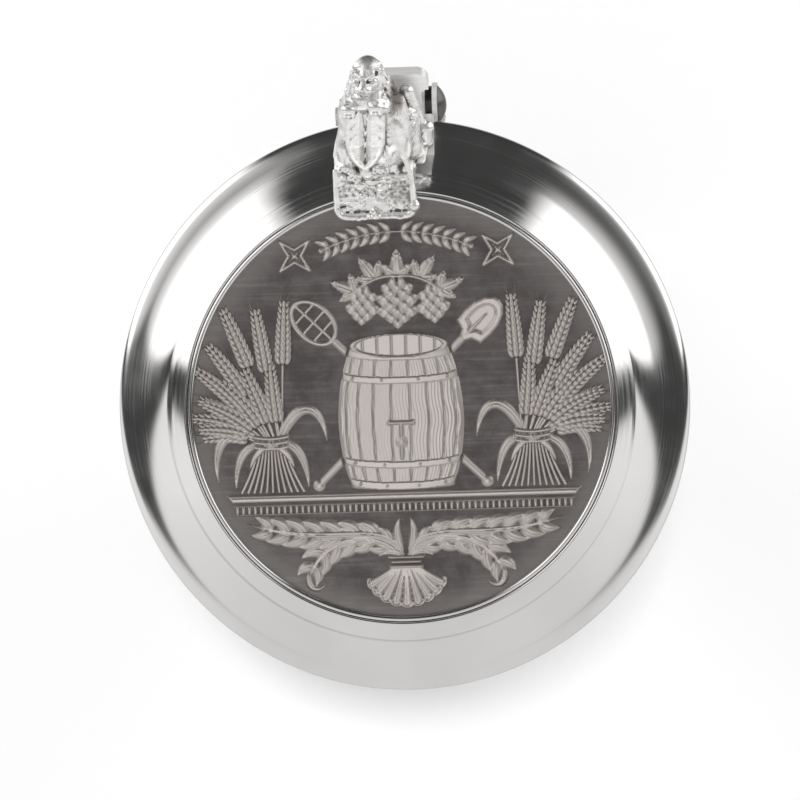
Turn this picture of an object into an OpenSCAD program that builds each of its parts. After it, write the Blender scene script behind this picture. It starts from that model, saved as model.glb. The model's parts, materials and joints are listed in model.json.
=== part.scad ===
// Tall beer glass with a hinged pewter lid.
// The strap round the neck carries the hinge; the lid swings open when the thumb lift is pressed.
// Units are millimetres. +Z is up, the origin is the middle of the foot, and the hinge is at +Y.

/* [Glass] */
// Height of the glass from foot to rim
glass_h = 240; // [200:1:300]
// Outer radius of the foot
foot_r = 33; // [28:0.5:40]
// Rounding of the foot's outer edge
foot_edge = 2.5; // [1:0.1:4]
// Outer radius of the waist above the foot
waist_r = 27; // [22:0.5:33]
// Height of the waist above the table
waist_z = 50; // [35:1:70]
// Outer radius of the belly
belly_r = 41; // [36:0.5:50]
// Height of the belly above the table
belly_z = 160; // [120:1:165]
// Outer radius of the straight neck
neck_r = 38.5; // [32:0.5:40]
// Height of the straight neck below the rim
neck_h = 28; // [24:1:34]
// Thickness of the glass wall
wall = 2.2; // [1.6:0.1:3.2]
// Thickness of the solid bottom
bottom_t = 16; // [8:1:24]
// Height of the rounding inside the bottom
bottom_round = 9; // [4:0.5:14]
// Depth of the hollow under the foot
punt_h = 1.2; // [0.4:0.1:3]
// Width of the ring that the glass stands on
foot_ring_w = 7; // [3:0.5:12]

/* [Collar] */
// Height of the strap round the neck
strap_h = 9; // [6:0.5:11]
// Thickness of the strap's sheet metal
strap_t = 0.8; // [0.6:0.1:1.2]
// Thickness of the soft liner under the strap
liner_t = 1; // [0.6:0.1:2]
// Distance from the glass rim down to the strap
strap_drop = 12; // [10:0.5:14]
// Radius of the clamp screw
clamp_r = 1.5; // [1:0.1:2]
// Distance of the clamp screw below the hinge pin
clamp_drop = 8.2; // [7.6:0.1:10]
// Distance of the clamp screw inside the hinge pin
clamp_in = 1; // [0:0.1:2]
// Radius of the clamp screw's low head
clamp_head_r = 2.8; // [2.4:0.1:3.4]
// Height of the clamp screw's low head
clamp_head_h = 0.8; // [0.6:0.1:2.5]
// Width of the slot in the clamp screw's head
slot_w = 0.7; // [0.5:0.1:1]
// Depth of the slot in the clamp screw's head
slot_d = 0.4; // [0.2:0.1:1]
// Width of the clamp nut across its flats
nut_af = 5.5; // [4.5:0.1:7]
// Thickness of the clamp nut
nut_t = 2.4; // [1.6:0.1:3.5]
// Length of the clamp screw past its nut
screw_proud = 0.8; // [0.2:0.1:2]
// Metal of the ears round the clamp screw's head
ear_margin = 0.4; // [0.2:0.1:1]
// Wall of the sleeve between the ears
sleeve_wall = 1.6; // [0.8:0.1:1.6]

/* [Hinge] */
// Radius of the hinge pin
pin_r = 1.5; // [1.1:0.05:1.9]
// Radius of the pin's domed head and of its riveted end
pin_head_r = 3; // [2.4:0.1:3.8]
// Height of the pin's domed head
pin_head_h = 1.3; // [0.8:0.1:2]
// Height of the pin's riveted end
pin_tail_h = 0.4; // [0.3:0.1:1.4]
// Distance of the pin outside the lid's edge
pin_out = 2.2; // [1.8:0.1:4]
// Distance of the pin below the lid's underside
pin_drop = 2.9; // [2.6:0.1:4]
// Radius of the ears round the pin
ear_r = 3.5; // [3:0.1:3.8]
// Thickness of the washers on the pin
washer_t = 1; // [0.4:0.1:1.2]
// Radius of the washers on the pin
washer_r = 3; // [2.4:0.1:3.4]
// Reach of the lever's heel behind the sleeve's near side
heel_bite = 0.6; // [0.4:0.1:1]
// Opening angle at which the lever's heel meets the sleeve
stop_a = 109; // [95:1:115]

/* [Lid] */
// Outer radius of the lid
lid_r = 45; // [41:0.5:56]
// Radius of the rounded outer edge
bead_r = 1.4; // [1:0.1:2]
// Width of the hollow moulding inside the edge
cove_w = 7.2; // [5:0.1:8]
// Steepest slope of the hollow moulding
cove_a = 60; // [45:1:70]
// Width of the small step above the hollow moulding
step_w = 0.2; // [0.1:0.05:0.6]
// Width of the sloping shoulder round the relief
shoulder_w = 2.85; // [1.6:0.05:3.2]
// Slope of the shoulder at its foot
shoulder_low = 44; // [38:1:60]
// Slope of the shoulder at its top
shoulder_high = 33; // [10:1:36]
// Depth of the relief's ground below the shoulder
field_drop = 1; // [0.6:0.1:1.6]
// Thickness of the relief disc
disc_t = 1.6; // [1:0.1:2.4]
// Height of the relief above its ground
relief_h = 0.7; // [0.3:0.1:0.9]
// Radius of the bezel wire's section
bezel_r = 0.42; // [0.3:0.02:0.6]
// Width of the ledge under the relief disc
ledge_w = 2.4; // [1.5:0.1:4]
// Thickness of the ledge under the relief disc
ledge_t = 1.5; // [1:0.1:2]
// Wall of the locating skirt under the lid
skirt_t = 1.4; // [1:0.1:2]
// Depth of the locating skirt under the lid
skirt_h = 5; // [2:0.5:8]

/* [Lever] */
// Width of the lever between the washers
lever_w = 9.8; // [8:0.1:14]
// Width of the lever's saddle on the brim
saddle_w = 12.6; // [10:0.1:14]
// Radius of the knuckle round the pin
knuckle_r = 3.6; // [2.8:0.1:4]
// Rise of the lever's tongue above level
tongue_a = 40; // [32:1:46]
// Distance from the pin to the tongue's upper face
tongue_d = 10.5; // [9.5:0.1:12]
// Width of the tongue's end, past its neck
tongue_w = 12.2; // [10:0.1:14]
// Length of the tongue's end, past its neck
tongue_end = 3; // [2:0.1:6]
// Thickness of the tongue
tongue_t = 2; // [1.4:0.1:3]
// Reach of the tongue past the pin
tongue_reach = 14; // [12:0.5:18]
// Corner rounding of the tongue
tongue_corner = 1.8; // [0.5:0.1:3]
// Gap between the lever's web and the lid's edge
web_gap = 0.15; // [0.1:0.05:0.4]
// Reach of the web along the tongue
web_reach = 4; // [2:0.5:6]
// Reach of the rib along the tongue
rib_reach = 6; // [4:0.5:8]
// Width of the rib under the tongue
rib_w = 3; // [2:0.1:5]
// Radius of the screws that hold the lever
lever_screw_r = 1.2; // [0.9:0.1:1.5]
// Radius of the heads of those screws
lever_screw_head_r = 2.2; // [1.8:0.1:2.6]
// Distance between those screws
lever_screw_gap = 6.8; // [6:0.1:8]
// Bite of those screws in the saddle
lever_screw_bite = 2.6; // [1:0.1:2.8]
// Distance of the saddle's inner end from the hollow moulding's inner end
saddle_inset = 2.3; // [1.5:0.1:3]

/* [Thumb lift] */
// Width of the rocky plinth
plinth_w = 13.6; // [10:0.1:15]
// Sideways place of the plinth under the figure
plinth_shift = -0.8; // [-2:0.1:0]
// Depth of the figure in front of the tongue
lift_depth = 9.7; // [7:0.1:10.5]
// Height of the figure along the tongue above the pin
lift_h = 21.5; // [20:0.1:28]
// Sideways place of the figure on the tongue
lift_x = -2; // [-3:0.1:0]
// Radius of the screw that holds the figure
lift_screw_r = 1.5; // [1:0.1:1.8]
// Radius of that screw's head
lift_screw_head_r = 2.4; // [2:0.1:2.8]
// Height of that screw's head
lift_screw_head_h = 1.6; // [1:0.1:2]
// Reach of that screw past the pin, along the tongue
lift_screw_reach = 9; // [8.6:0.1:10]
// Depth of that screw in the figure
lift_screw_bite = 4.5; // [2:0.1:5]

/* [Fits] */
// Gap between pieces seated on each other
seat_gap = 0.05; // [0.02:0.01:0.1]
// Radial clearance of the pin in the knuckle
pin_clear = 0.05; // [0.02:0.01:0.1]
// Gap between the closed lid and the glass rim
lid_gap = 0.3; // [0.2:0.05:0.6]
// Gap between the skirt and the inside of the glass
skirt_gap = 0.7; // [0.5:0.1:1.5]

/* [Hidden] */
$fn = 96;

curve_steps = 28;
arc_steps = 14;
figure_fn = 20;
over = 0.5;

neck_z = glass_h - neck_h;
inner_z = bottom_t + bottom_round;

liner_in = neck_r + seat_gap;
liner_out = liner_in + liner_t;
strap_in = liner_out + seat_gap;
strap_out = strap_in + strap_t;
strap_z = glass_h - strap_drop - strap_h;

lid_z = glass_h + lid_gap;
skirt_out = neck_r - wall - skirt_gap;
skirt_in = skirt_out - skirt_t;
edge_r = lid_r - bead_r;
cove_r = cove_w / sin(cove_a);
cove_in = edge_r - cove_w;
cove_top = 2 * bead_r + cove_r * (1 - cos(cove_a));
shoulder_r = shoulder_w / (sin(shoulder_low) - sin(shoulder_high));
shoulder_in = cove_in - step_w - shoulder_w;
shoulder_top = cove_top + shoulder_r * (cos(shoulder_high) - cos(shoulder_low));
field_z = shoulder_top - field_drop;
disc_r = shoulder_in - seat_gap;
disc_z = field_z - disc_t;
ledge_in = disc_r - ledge_w;
ledge_z = disc_z - seat_gap;
bezel_mid = disc_r - bezel_r;

ear_in = lever_w / 2 + washer_t + 2 * seat_gap;
ear_out = ear_in + strap_t;
pin_y = max(lid_r + pin_out, strap_out + knuckle_r + over);
pin_z = lid_z - pin_drop;
clamp_y = pin_y - clamp_in;
clamp_z = pin_z - clamp_drop;
clamp_ear_r = clamp_head_r + ear_margin;
sleeve_in = clamp_r + seat_gap;
sleeve_out = sleeve_in + sleeve_wall;

sleeve_d = norm([clamp_y - pin_y, clamp_drop]);
sleeve_a = atan2(-clamp_drop, clamp_y - pin_y);
heel_r = sleeve_d - sleeve_out + heel_bite;
heel_a = sleeve_a + stop_a
    + acos((sleeve_d * sleeve_d + heel_r * heel_r - sleeve_out * sleeve_out) / (2 * sleeve_d * heel_r));

lever_screw_y = edge_r - bead_r;
lever_screw_top = 2 * bead_r + lever_screw_bite;
lift_front = tongue_d + lift_depth;

// Eased step from 0 to 1 with level ends
function ease(s) = s * s * (3 - 2 * s);

// Value between two stations, level at both
function between(z, z0, z1, r0, r1) = r0 + (r1 - r0) * ease((z - z0) / (z1 - z0));

// Outer radius of the glass at a height
function glass_r(z) = z < waist_z ? between(z, foot_edge, waist_z, foot_r, waist_r)
    : z < belly_z ? between(z, waist_z, belly_z, waist_r, belly_r)
    : z < neck_z ? between(z, belly_z, neck_z, belly_r, neck_r)
    : neck_r;

// Points along a circular arc
function arc(cx, cy, r, a0, a1, n = arc_steps) =
    [for (i = [0 : n]) let (a = a0 + (a1 - a0) * i / n) [cx + r * cos(a), cy + r * sin(a)]];

// Heights at even steps, without the first
function steps(z0, z1, n = curve_steps) = [for (i = [1 : n]) z0 + (z1 - z0) * i / n];

// Points on the glass between two heights, moved in by an inset
function glass_curve(z0, z1, inset) = [for (z = steps(z0, z1)) [glass_r(z) - inset, z]];

// Half section of the glass
function glass_section() = concat(
    [[0, punt_h], [foot_r - foot_edge - foot_ring_w, punt_h]],
    [[foot_r - foot_edge - foot_ring_w + punt_h, 0]],
    arc(foot_r - foot_edge, foot_edge, foot_edge, -90, 0),
    glass_curve(foot_edge, waist_z, 0),
    glass_curve(waist_z, belly_z, 0),
    glass_curve(belly_z, neck_z, 0),
    arc(neck_r - wall / 2, glass_h - wall / 2, wall / 2, 0, 180),
    [[neck_r - wall, neck_z]],
    glass_curve(neck_z, belly_z, wall),
    glass_curve(belly_z, waist_z, wall),
    glass_curve(waist_z, inner_z, wall),
    [for (i = [1 : arc_steps]) let (a = 90 * i / arc_steps)
        [(glass_r(inner_z) - wall) * cos(a), inner_z - bottom_round * sin(a)]]);

// Upper outline of the brim from the edge inwards, above the lid's underside
function brim_top() = concat(
    arc(edge_r, bead_r, bead_r, -90, 90),
    arc(edge_r, 2 * bead_r + cove_r, cove_r, -90, -90 - cove_a),
    arc(shoulder_in - shoulder_r * sin(shoulder_high), shoulder_top - shoulder_r * cos(shoulder_high),
        shoulder_r, 90 - shoulder_low, 90 - shoulder_high));

// Half section of the brim
function brim_section() = concat(
    [[skirt_in, -skirt_h], [skirt_out, -skirt_h], [skirt_out, 0]],
    brim_top(),
    [[shoulder_in, ledge_z], [ledge_in, ledge_z]],
    [[ledge_in, ledge_z - ledge_t], [skirt_in, ledge_z - ledge_t]]);

// Domed head standing on z = 0
function dome(r, h) = let (s = (r * r + h * h) / (2 * h), a = asin(r / s))
    [for (i = [0 : arc_steps]) let (b = a * (1 - i / arc_steps)) [s * sin(b), h - s + s * cos(b)]];

// Moves children to the hinge pin, with X along the pin
module at_pin() {
    translate([0, pin_y, pin_z]) children();
}

// Moves children to the lever's own frame: Y runs up the tongue and Z stands square on it
module on_tongue() {
    at_pin() rotate([tongue_a, 0, 0]) children();
}

// Turns a solid of revolution so that its axis lies along X
module along_x() {
    rotate([0, 90, 0]) children();
}

// Extrudes an outline given in Y and Z to a width across X
module across(w) {
    rotate([90, 0, 90]) translate([0, 0, -w / 2]) linear_extrude(w) children();
}

// Ring about the Z axis
module ring(r0, r1, h) {
    difference() {
        cylinder(r = r1, h = h);
        translate([0, 0, -over]) cylinder(r = r0, h = h + 2 * over);
    }
}

// Space between the two ears
module ear_gap() {
    translate([-ear_in, 0, strap_z - over]) cube([2 * ear_in, strap_out + over, strap_h + 2 * over]);
}

// Everything below the lid's upper face, for scribing what sits on it
module below_lid_top(gap) {
    translate([0, 0, lid_z + gap]) rotate_extrude()
        polygon(concat([[0, 0]], brim_top(), [[0, shoulder_top]]));
}

module beer_glass() {
    color("lightcyan", 0.4) rotate_extrude() polygon(glass_section());
}

module collar_strap() {
    color("silver") difference() {
        union() {
            translate([0, 0, strap_z]) ring(strap_in, strap_out, strap_h);
            for (side = [-1, 1]) {
                translate([side * (ear_in + strap_t / 2), 0, 0]) across(strap_t) hull() {
                    translate([pin_y, pin_z]) circle(ear_r);
                    translate([clamp_y, clamp_z]) circle(clamp_ear_r);
                    translate([strap_in - over, strap_z]) square([strap_t, strap_h]);
                }
            }
        }
        translate([0, 0, strap_z - over]) cylinder(r = strap_in, h = strap_h + 2 * over);
        ear_gap();
        at_pin() along_x() cylinder(r = pin_r + seat_gap, h = 4 * ear_out, center = true);
        translate([0, clamp_y, clamp_z]) along_x()
            cylinder(r = clamp_r + seat_gap, h = 4 * ear_out, center = true);
    }
}

module collar_liner() {
    color("dimgray") difference() {
        translate([0, 0, strap_z]) ring(liner_in, liner_out, strap_h);
        ear_gap();
    }
}

module clamp_screw() {
    shank = 2 * ear_out + 2 * seat_gap + nut_t + screw_proud;
    color("gainsboro") translate([ear_out + seat_gap, clamp_y, clamp_z]) along_x() difference() {
        rotate_extrude() polygon(concat([[0, -shank], [clamp_r, -shank], [clamp_r, 0]],
            dome(clamp_head_r, clamp_head_h)));
        translate([-clamp_head_r, -slot_w / 2, clamp_head_h - slot_d])
            cube([2 * clamp_head_r, slot_w, slot_d + over]);
    }
}

module clamp_nut() {
    color("gainsboro") translate([-ear_out - seat_gap - nut_t, clamp_y, clamp_z]) along_x() difference() {
        cylinder(r = nut_af / 2 / cos(30), h = nut_t, $fn = 6);
        translate([0, 0, -over]) cylinder(r = clamp_r + seat_gap, h = nut_t + 2 * over);
    }
}

module clamp_sleeve() {
    color("gainsboro") translate([seat_gap - ear_in, clamp_y, clamp_z]) along_x()
        ring(sleeve_in, sleeve_out, 2 * (ear_in - seat_gap));
}

module hinge_pin() {
    half = ear_out + seat_gap;
    head = [for (p = dome(pin_head_r, pin_head_h)) [p.x, half + p.y]];
    tail = dome(pin_head_r, pin_tail_h);
    foot = [for (i = [len(tail) - 1 : -1 : 0]) [tail[i].x, -half - tail[i].y]];
    color("gray") at_pin() along_x() rotate_extrude()
        polygon(concat(foot, [[pin_r, -half], [pin_r, half]], head));
}

module pin_washers() {
    color("dimgray") for (x = [-ear_in + seat_gap, lever_w / 2 + seat_gap]) {
        at_pin() translate([x, 0, 0]) along_x() ring(pin_r + seat_gap, washer_r, washer_t);
    }
}

module lever_screw_places() {
    for (x = [-lever_screw_gap / 2, lever_screw_gap / 2]) {
        translate([x, lever_screw_y, lid_z]) children();
    }
}

// Countersunk screw standing on its head, grown by a clearance
module countersunk(gap) {
    head_h = lever_screw_head_r - lever_screw_r;
    translate([0, 0, seat_gap - gap]) {
        cylinder(r1 = lever_screw_head_r + gap, r2 = lever_screw_r + gap, h = head_h);
        cylinder(r = lever_screw_r + gap, h = lever_screw_top - seat_gap + 2 * gap);
    }
}

module lid_brim() {
    color("whitesmoke") difference() {
        translate([0, 0, lid_z]) rotate_extrude() polygon(brim_section());
        lever_screw_places() countersunk(seat_gap);
    }
}

// One ear of barley on its stalk
module barley(lean, reach) {
    rotate(lean) {
        translate([-0.25, 0]) square([0.5, reach]);
        translate([0, reach]) polygon([[-1.3, 0], [0, -2], [1.3, 0], [0, 9]]);
    }
}

// Sheaf of barley standing on the ledge
module sheaf() {
    for (i = [-2 : 2]) {
        barley(15 * i, 17 - 2 * abs(i));
    }
    translate([-2.2, 4]) square([4.4, 2]);
}

// Upright cask with bulging sides
module cask(w, h, bulge) {
    side = (h * h / 4 + bulge * bulge) / (2 * bulge);
    half = asin(h / 2 / side);
    cx = w / 2 - side;
    polygon(concat(arc(cx, h / 2, side, -half, half), arc(-cx, h / 2, side, 180 - half, 180 + half)));
}

module star(r) {
    polygon([for (i = [0 : 7]) (i % 2 == 0 ? r : r / 3) * [cos(45 * i), sin(45 * i)]]);
}

module relief_medallion() {
    ledge_y = -13.6;
    color("darkgray") translate([0, 0, lid_z + disc_z]) union() {
        cylinder(r = disc_r, h = disc_t);
        linear_extrude(disc_t + relief_h) {
            translate([-disc_r + 5.5, ledge_y - 2.6]) square([2 * disc_r - 11, 2.6]);
            translate([0, ledge_y - over]) cask(20, 23.6, 2.1);
            for (side = [-1, 1]) {
                translate([side * 20.8, ledge_y - over]) sheaf();
                translate([side * 16.2, 24.6]) star(3.2);
            }
        }
    }
}

module bezel_ring() {
    color("white") translate([0, 0, lid_z + field_z + seat_gap + bezel_r]) rotate_extrude()
        translate([bezel_mid, 0]) circle(bezel_r);
}

// Point in the lever's side view, by its place along the tongue and its height off it
function on_side(t, d) = [t * cos(tongue_a) - d * sin(tongue_a), t * sin(tongue_a) + d * cos(tongue_a)];

// Height of the tongue's upper face over a place in Y, from the pin
function tongue_rise(y) = (tongue_d + y * sin(tongue_a)) / cos(tongue_a);

module tongue_plate() {
    corner_x = tongue_w / 2 - tongue_corner;
    neck = tongue_reach - tongue_end;
    translate([0, 0, tongue_d - tongue_t]) linear_extrude(tongue_t) {
        translate([-lever_w / 2, 0]) square([lever_w, neck + over]);
        translate([-tongue_w / 2, neck]) square([tongue_w, tongue_end - tongue_corner]);
        translate([-corner_x, neck]) square([2 * corner_x, tongue_end]);
        for (side = [-1, 1]) {
            translate([side * corner_x, tongue_reach - tongue_corner]) circle(tongue_corner);
        }
    }
}

module lid_lever() {
    saddle_in = cove_in + saddle_inset - pin_y;
    web_in = lid_r + web_gap - pin_y;
    saddle_out = web_in + web_gap;
    mid_z = lid_z + bead_r - pin_z;
    color("silver") difference() {
        union() {
            on_tongue() tongue_plate();
            at_pin() along_x() cylinder(r = knuckle_r, h = lever_w, center = true);
            at_pin() across(saddle_w) polygon([[saddle_in, mid_z], [saddle_out, mid_z],
                [saddle_out, tongue_rise(saddle_out)], [saddle_in, tongue_rise(saddle_in)]]);
            at_pin() across(lever_w) polygon([[web_in, 0], [knuckle_r * 0.8, 0],
                on_side(web_reach, tongue_d - tongue_t), on_side(web_reach, tongue_d),
                [web_in, tongue_rise(web_in)]]);
            at_pin() across(rib_w) polygon([[0, 0], heel_r * [cos(heel_a), sin(heel_a)],
                on_side(rib_reach, tongue_d - tongue_t / 2), on_side(0, tongue_d - tongue_t / 2)]);
        }
        below_lid_top(seat_gap);
        at_pin() along_x() cylinder(r = pin_r + pin_clear, h = 2 * lever_w, center = true);
        lever_screw_places() countersunk(seat_gap);
        on_tongue() translate([lift_x, lift_screw_reach, 0])
            cylinder(r = lift_screw_r + seat_gap, h = tongue_d + over);
    }
}

module lever_screws() {
    color("gainsboro") lever_screw_places() countersunk(0);
}

// Ball in the figure: x across, t up the tongue and d off it
module ball(x, t, d, r) {
    translate([x, t, d]) sphere(r, $fn = figure_fn);
}

// Limb between two balls
module limb(a, ra, b, rb) {
    hull() {
        ball(a.x, a.y, a.z, ra);
        ball(b.x, b.y, b.z, rb);
    }
}

// Seated lion holding a plain shield on a rocky plinth
module lion() {
    mid = tongue_d + lift_depth * 0.45;
    plinth_x = plinth_w / 2 - 1.4;
    head_t = lift_h - 3;
    hull() {
        for (x = [-plinth_x, plinth_x], d = [tongue_d + 1.4, lift_front - 1.4]) {
            ball(plinth_shift + x, -6, d, 1.4);
            ball(plinth_shift + x * 0.94, 0.6, d, 1.4);
        }
    }
    limb([0, 4, mid], 4.6, [0, 13, mid], 3.3);
    limb([0, 12, mid], 3.4, [0, head_t - 2.5, mid], 2.9);
    limb([0, head_t, mid + 0.2], 2.7, [0, head_t - 0.6, mid + 2], 1.5);
    for (side = [-1, 1]) {
        limb([side * 4.6, 3.4, mid], 2.2, [side * 4, 1.6, lift_front - 1.6], 1.4);
        limb([side * 3.2, 12, mid + 0.6], 1.8, [side * 3.5, 7, lift_front - 2], 1.2);
        ball(side * 1.8, head_t + 1.9, mid - 0.4, 0.9);
    }
    limb([-5.4, 2, mid], 2, [-3.4, 13, mid], 1.8);
    limb([4.6, 2, mid - 0.4], 2.2, [3.8, 13, mid - 0.6], 1.9);
    limb([6, 2.4, mid - 1.4], 1.6, [5.8, 9, mid - 2], 1.5);
    translate([0, 0, lift_front - 2]) linear_extrude(1.6)
        polygon(concat([[-3.6, 12.4], [3.6, 12.4]], arc(-3.6, 6.6, 7.2, 0, -60, 6),
            arc(3.6, 6.6, 7.2, 240, 180, 6)));
}

module thumb_lift() {
    color("white") difference() {
        on_tongue() difference() {
            translate([lift_x, 0, 0]) lion();
            translate([-plinth_w * 2, -2 * lift_h, 0])
                cube([4 * plinth_w, 4 * lift_h, tongue_d + seat_gap]);
            translate([lift_x, lift_screw_reach, 0])
                cylinder(r = lift_screw_r + seat_gap, h = tongue_d + lift_screw_bite + seat_gap);
        }
        below_lid_top(2 * seat_gap);
    }
}

module lift_screw() {
    head_z = tongue_d - tongue_t - seat_gap;
    shank = tongue_t + seat_gap + lift_screw_bite;
    color("gainsboro") on_tongue() translate([lift_x, lift_screw_reach, head_z]) mirror([0, 0, 1])
        rotate_extrude() polygon(concat([[0, -shank], [lift_screw_r, -shank], [lift_screw_r, 0]],
            dome(lift_screw_head_r, lift_screw_head_h)));
}

beer_glass();
collar_strap();
collar_liner();
clamp_screw();
clamp_nut();
clamp_sleeve();
hinge_pin();
pin_washers();
lid_brim();
relief_medallion();
bezel_ring();
lid_lever();
lever_screws();
thumb_lift();
lift_screw();
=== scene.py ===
"""Tall beer glass with a hinged pewter lid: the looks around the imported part.

Laid out as an add-on and run as a script. Lengths in the modelling functions are millimetres in the part's
own frame; a piece is scaled to metres when its mesh is made.
"""

import json
import math

import bmesh
import bpy
import numpy as np
from mathutils import Matrix, Vector

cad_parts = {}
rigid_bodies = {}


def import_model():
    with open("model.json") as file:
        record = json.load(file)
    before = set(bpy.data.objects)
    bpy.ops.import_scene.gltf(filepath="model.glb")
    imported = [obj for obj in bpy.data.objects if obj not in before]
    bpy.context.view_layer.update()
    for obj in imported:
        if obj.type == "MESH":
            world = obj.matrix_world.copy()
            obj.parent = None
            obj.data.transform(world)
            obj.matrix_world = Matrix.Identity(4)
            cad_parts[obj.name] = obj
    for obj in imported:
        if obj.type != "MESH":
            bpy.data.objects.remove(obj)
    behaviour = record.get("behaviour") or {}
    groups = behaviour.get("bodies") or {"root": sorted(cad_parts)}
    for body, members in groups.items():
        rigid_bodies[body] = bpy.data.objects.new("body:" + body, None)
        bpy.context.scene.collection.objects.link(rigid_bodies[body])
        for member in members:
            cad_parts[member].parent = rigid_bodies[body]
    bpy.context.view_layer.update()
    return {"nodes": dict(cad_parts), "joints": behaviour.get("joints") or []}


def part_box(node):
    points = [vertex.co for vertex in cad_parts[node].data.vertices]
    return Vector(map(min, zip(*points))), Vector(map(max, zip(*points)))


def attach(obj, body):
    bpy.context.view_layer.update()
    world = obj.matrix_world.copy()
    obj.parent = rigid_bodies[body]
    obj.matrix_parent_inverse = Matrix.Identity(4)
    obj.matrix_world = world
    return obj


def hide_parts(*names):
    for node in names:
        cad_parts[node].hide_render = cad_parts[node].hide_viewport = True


bl_info = {
    "name": "Lidded beer glass",
    "version": (1, 0, 0),
    "blender": (4, 5, 0),
    "location": "View3D > Sidebar > Beer glass",
    "description": "Glass, pewter lid with a relief disc, thumb lift, hinge and studio stage",
    "category": "Object",
}

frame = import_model()

MM = 0.001
IMAGE_PX = 800
SENSOR_MM = 36.0
# Radius of the floor, in metres
FLOOR_RADIUS = 0.34
# Clearance of pieces that sit on each other, in millimetres
SEAT_GAP = 0.05


def box_mm(node):
    """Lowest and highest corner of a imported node, in millimetres."""
    low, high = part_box(node)
    return low / MM, high / MM


BRIM_LOW, BRIM_HIGH = box_mm("lid_brim")
DISC_LOW, DISC_HIGH = box_mm("relief_medallion")
GLASS_HIGH = box_mm("beer_glass")[1]
PIN = Vector(frame["joints"][0]["pos_m"]) / MM


# Sizes and colours that a user would change


def length_prop(name, description, default_mm):
    """A length property with its default in millimetres."""
    return bpy.props.FloatProperty(
        name=name, description=description, default=default_mm * MM, unit="LENGTH", precision=5)


def angle_prop(name, description, default_deg):
    """An angle property with its default in degrees."""
    return bpy.props.FloatProperty(
        name=name, description=description, default=math.radians(default_deg), subtype="ANGLE")


def colour_prop(name, description, default):
    """A colour property, linear."""
    return bpy.props.FloatVectorProperty(
        name=name, description=description, default=default, size=3, min=0, max=1, subtype="COLOR")


class GlassSizes(bpy.types.PropertyGroup):
    """Outline of the glass."""
    foot_edge: length_prop("Foot edge", "Rounding of the foot's outer edge", 2.5)
    foot_radius: length_prop("Foot radius", "Outer radius of the foot", 33)
    waist_radius: length_prop("Waist radius", "Outer radius of the waist", 27)
    waist_height: length_prop("Waist height", "Height of the waist above the table", 50)
    belly_height: length_prop("Belly height", "Height of the belly above the table", 160)
    neck_radius: length_prop("Neck radius", "Outer radius of the straight neck", 38.5)
    neck_length: length_prop("Neck length", "Height of the straight neck below the rim", 28)
    wall: length_prop("Wall", "Thickness of the glass wall", 2.2)
    bottom: length_prop("Bottom", "Thickness of the solid bottom", 16)
    bottom_round: length_prop("Bottom rounding", "Height of the rounding inside the bottom", 9)
    punt: length_prop("Punt", "Depth of the hollow under the foot", 1.2)
    foot_ring: length_prop("Foot ring", "Width of the ring that the glass stands on", 7)
    tint: colour_prop("Tint", "Colour of the glass", (0.965, 0.985, 0.978))


class LidSizes(bpy.types.PropertyGroup):
    """Mouldings of the lid."""
    edge_radius: length_prop("Edge radius", "Radius of the rounded outer edge", 1.4)
    cove_width: length_prop("Cove width", "Width of the hollow moulding", 7.2)
    cove_slope: angle_prop("Cove slope", "Steepest slope of the hollow moulding", 60)
    step_width: length_prop("Step width", "Width of the small step above the hollow moulding", 0.2)
    shoulder_width: length_prop("Shoulder width", "Width of the sloping shoulder", 2.85)
    shoulder_low: angle_prop("Shoulder foot", "Slope of the shoulder at its foot", 44)
    shoulder_high: angle_prop("Shoulder top", "Slope of the shoulder at its top", 33)
    field_drop: length_prop("Field drop", "Depth of the relief's ground below the shoulder", 1)
    disc_thickness: length_prop("Disc thickness", "Thickness of the relief disc", 1.6)
    ledge_width: length_prop("Ledge width", "Width of the ledge under the relief disc", 2.4)
    ledge_thickness: length_prop("Ledge thickness", "Thickness of the ledge", 1.5)
    skirt_radius: length_prop("Skirt radius", "Inner radius of the locating skirt", 34.2)
    skirt_thickness: length_prop("Skirt thickness", "Wall of the locating skirt", 1.4)
    skirt_depth: length_prop("Skirt depth", "Depth of the locating skirt", 5)
    bezel_radius: length_prop("Bezel radius", "Radius of the bezel wire's section", 0.42)
    pewter: colour_prop("Pewter", "Colour of the polished pewter", (0.80, 0.79, 0.78))


class LiftSizes(bpy.types.PropertyGroup):
    """Seat of the thumb lift on the lever's tongue."""
    lean: angle_prop("Lean", "Rise of the tongue away from the lid", 40)
    seat: length_prop("Seat", "Distance from the pin to the tongue's upper face", 10.5)
    offset: length_prop("Offset", "Place of the figure's middle across the lid", -2)
    screw_reach: length_prop("Screw reach", "Place of the screw up the tongue", 9)
    screw_radius: length_prop("Screw radius", "Radius of the screw", 1.5)
    screw_bite: length_prop("Screw bite", "Depth of the screw in the figure", 4.5)


class StageSettings(bpy.types.PropertyGroup):
    """Camera and floor."""
    distance: length_prop("Camera distance", "Distance from the camera to the lid", 500)
    tilt_side: angle_prop("Tilt to the side", "Turn of the view from the lid's axis to the right", 3.5)
    tilt_back: angle_prop("Tilt to the hinge", "Turn of the view from the lid's axis to the hinge", 2.8)
    roll: angle_prop("Roll", "Turn of the object in the picture, counterclockwise", 1.75)
    lid_px: bpy.props.FloatProperty(
        name="Lid radius", description="Radius of the lid in the picture, in pixels", default=285.8)
    centre_px: bpy.props.FloatVectorProperty(
        name="Lid centre", description="Middle of the lid in the picture, in pixels",
        default=(403.4, 405.6), size=2)


# Small helpers for node trees


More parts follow.
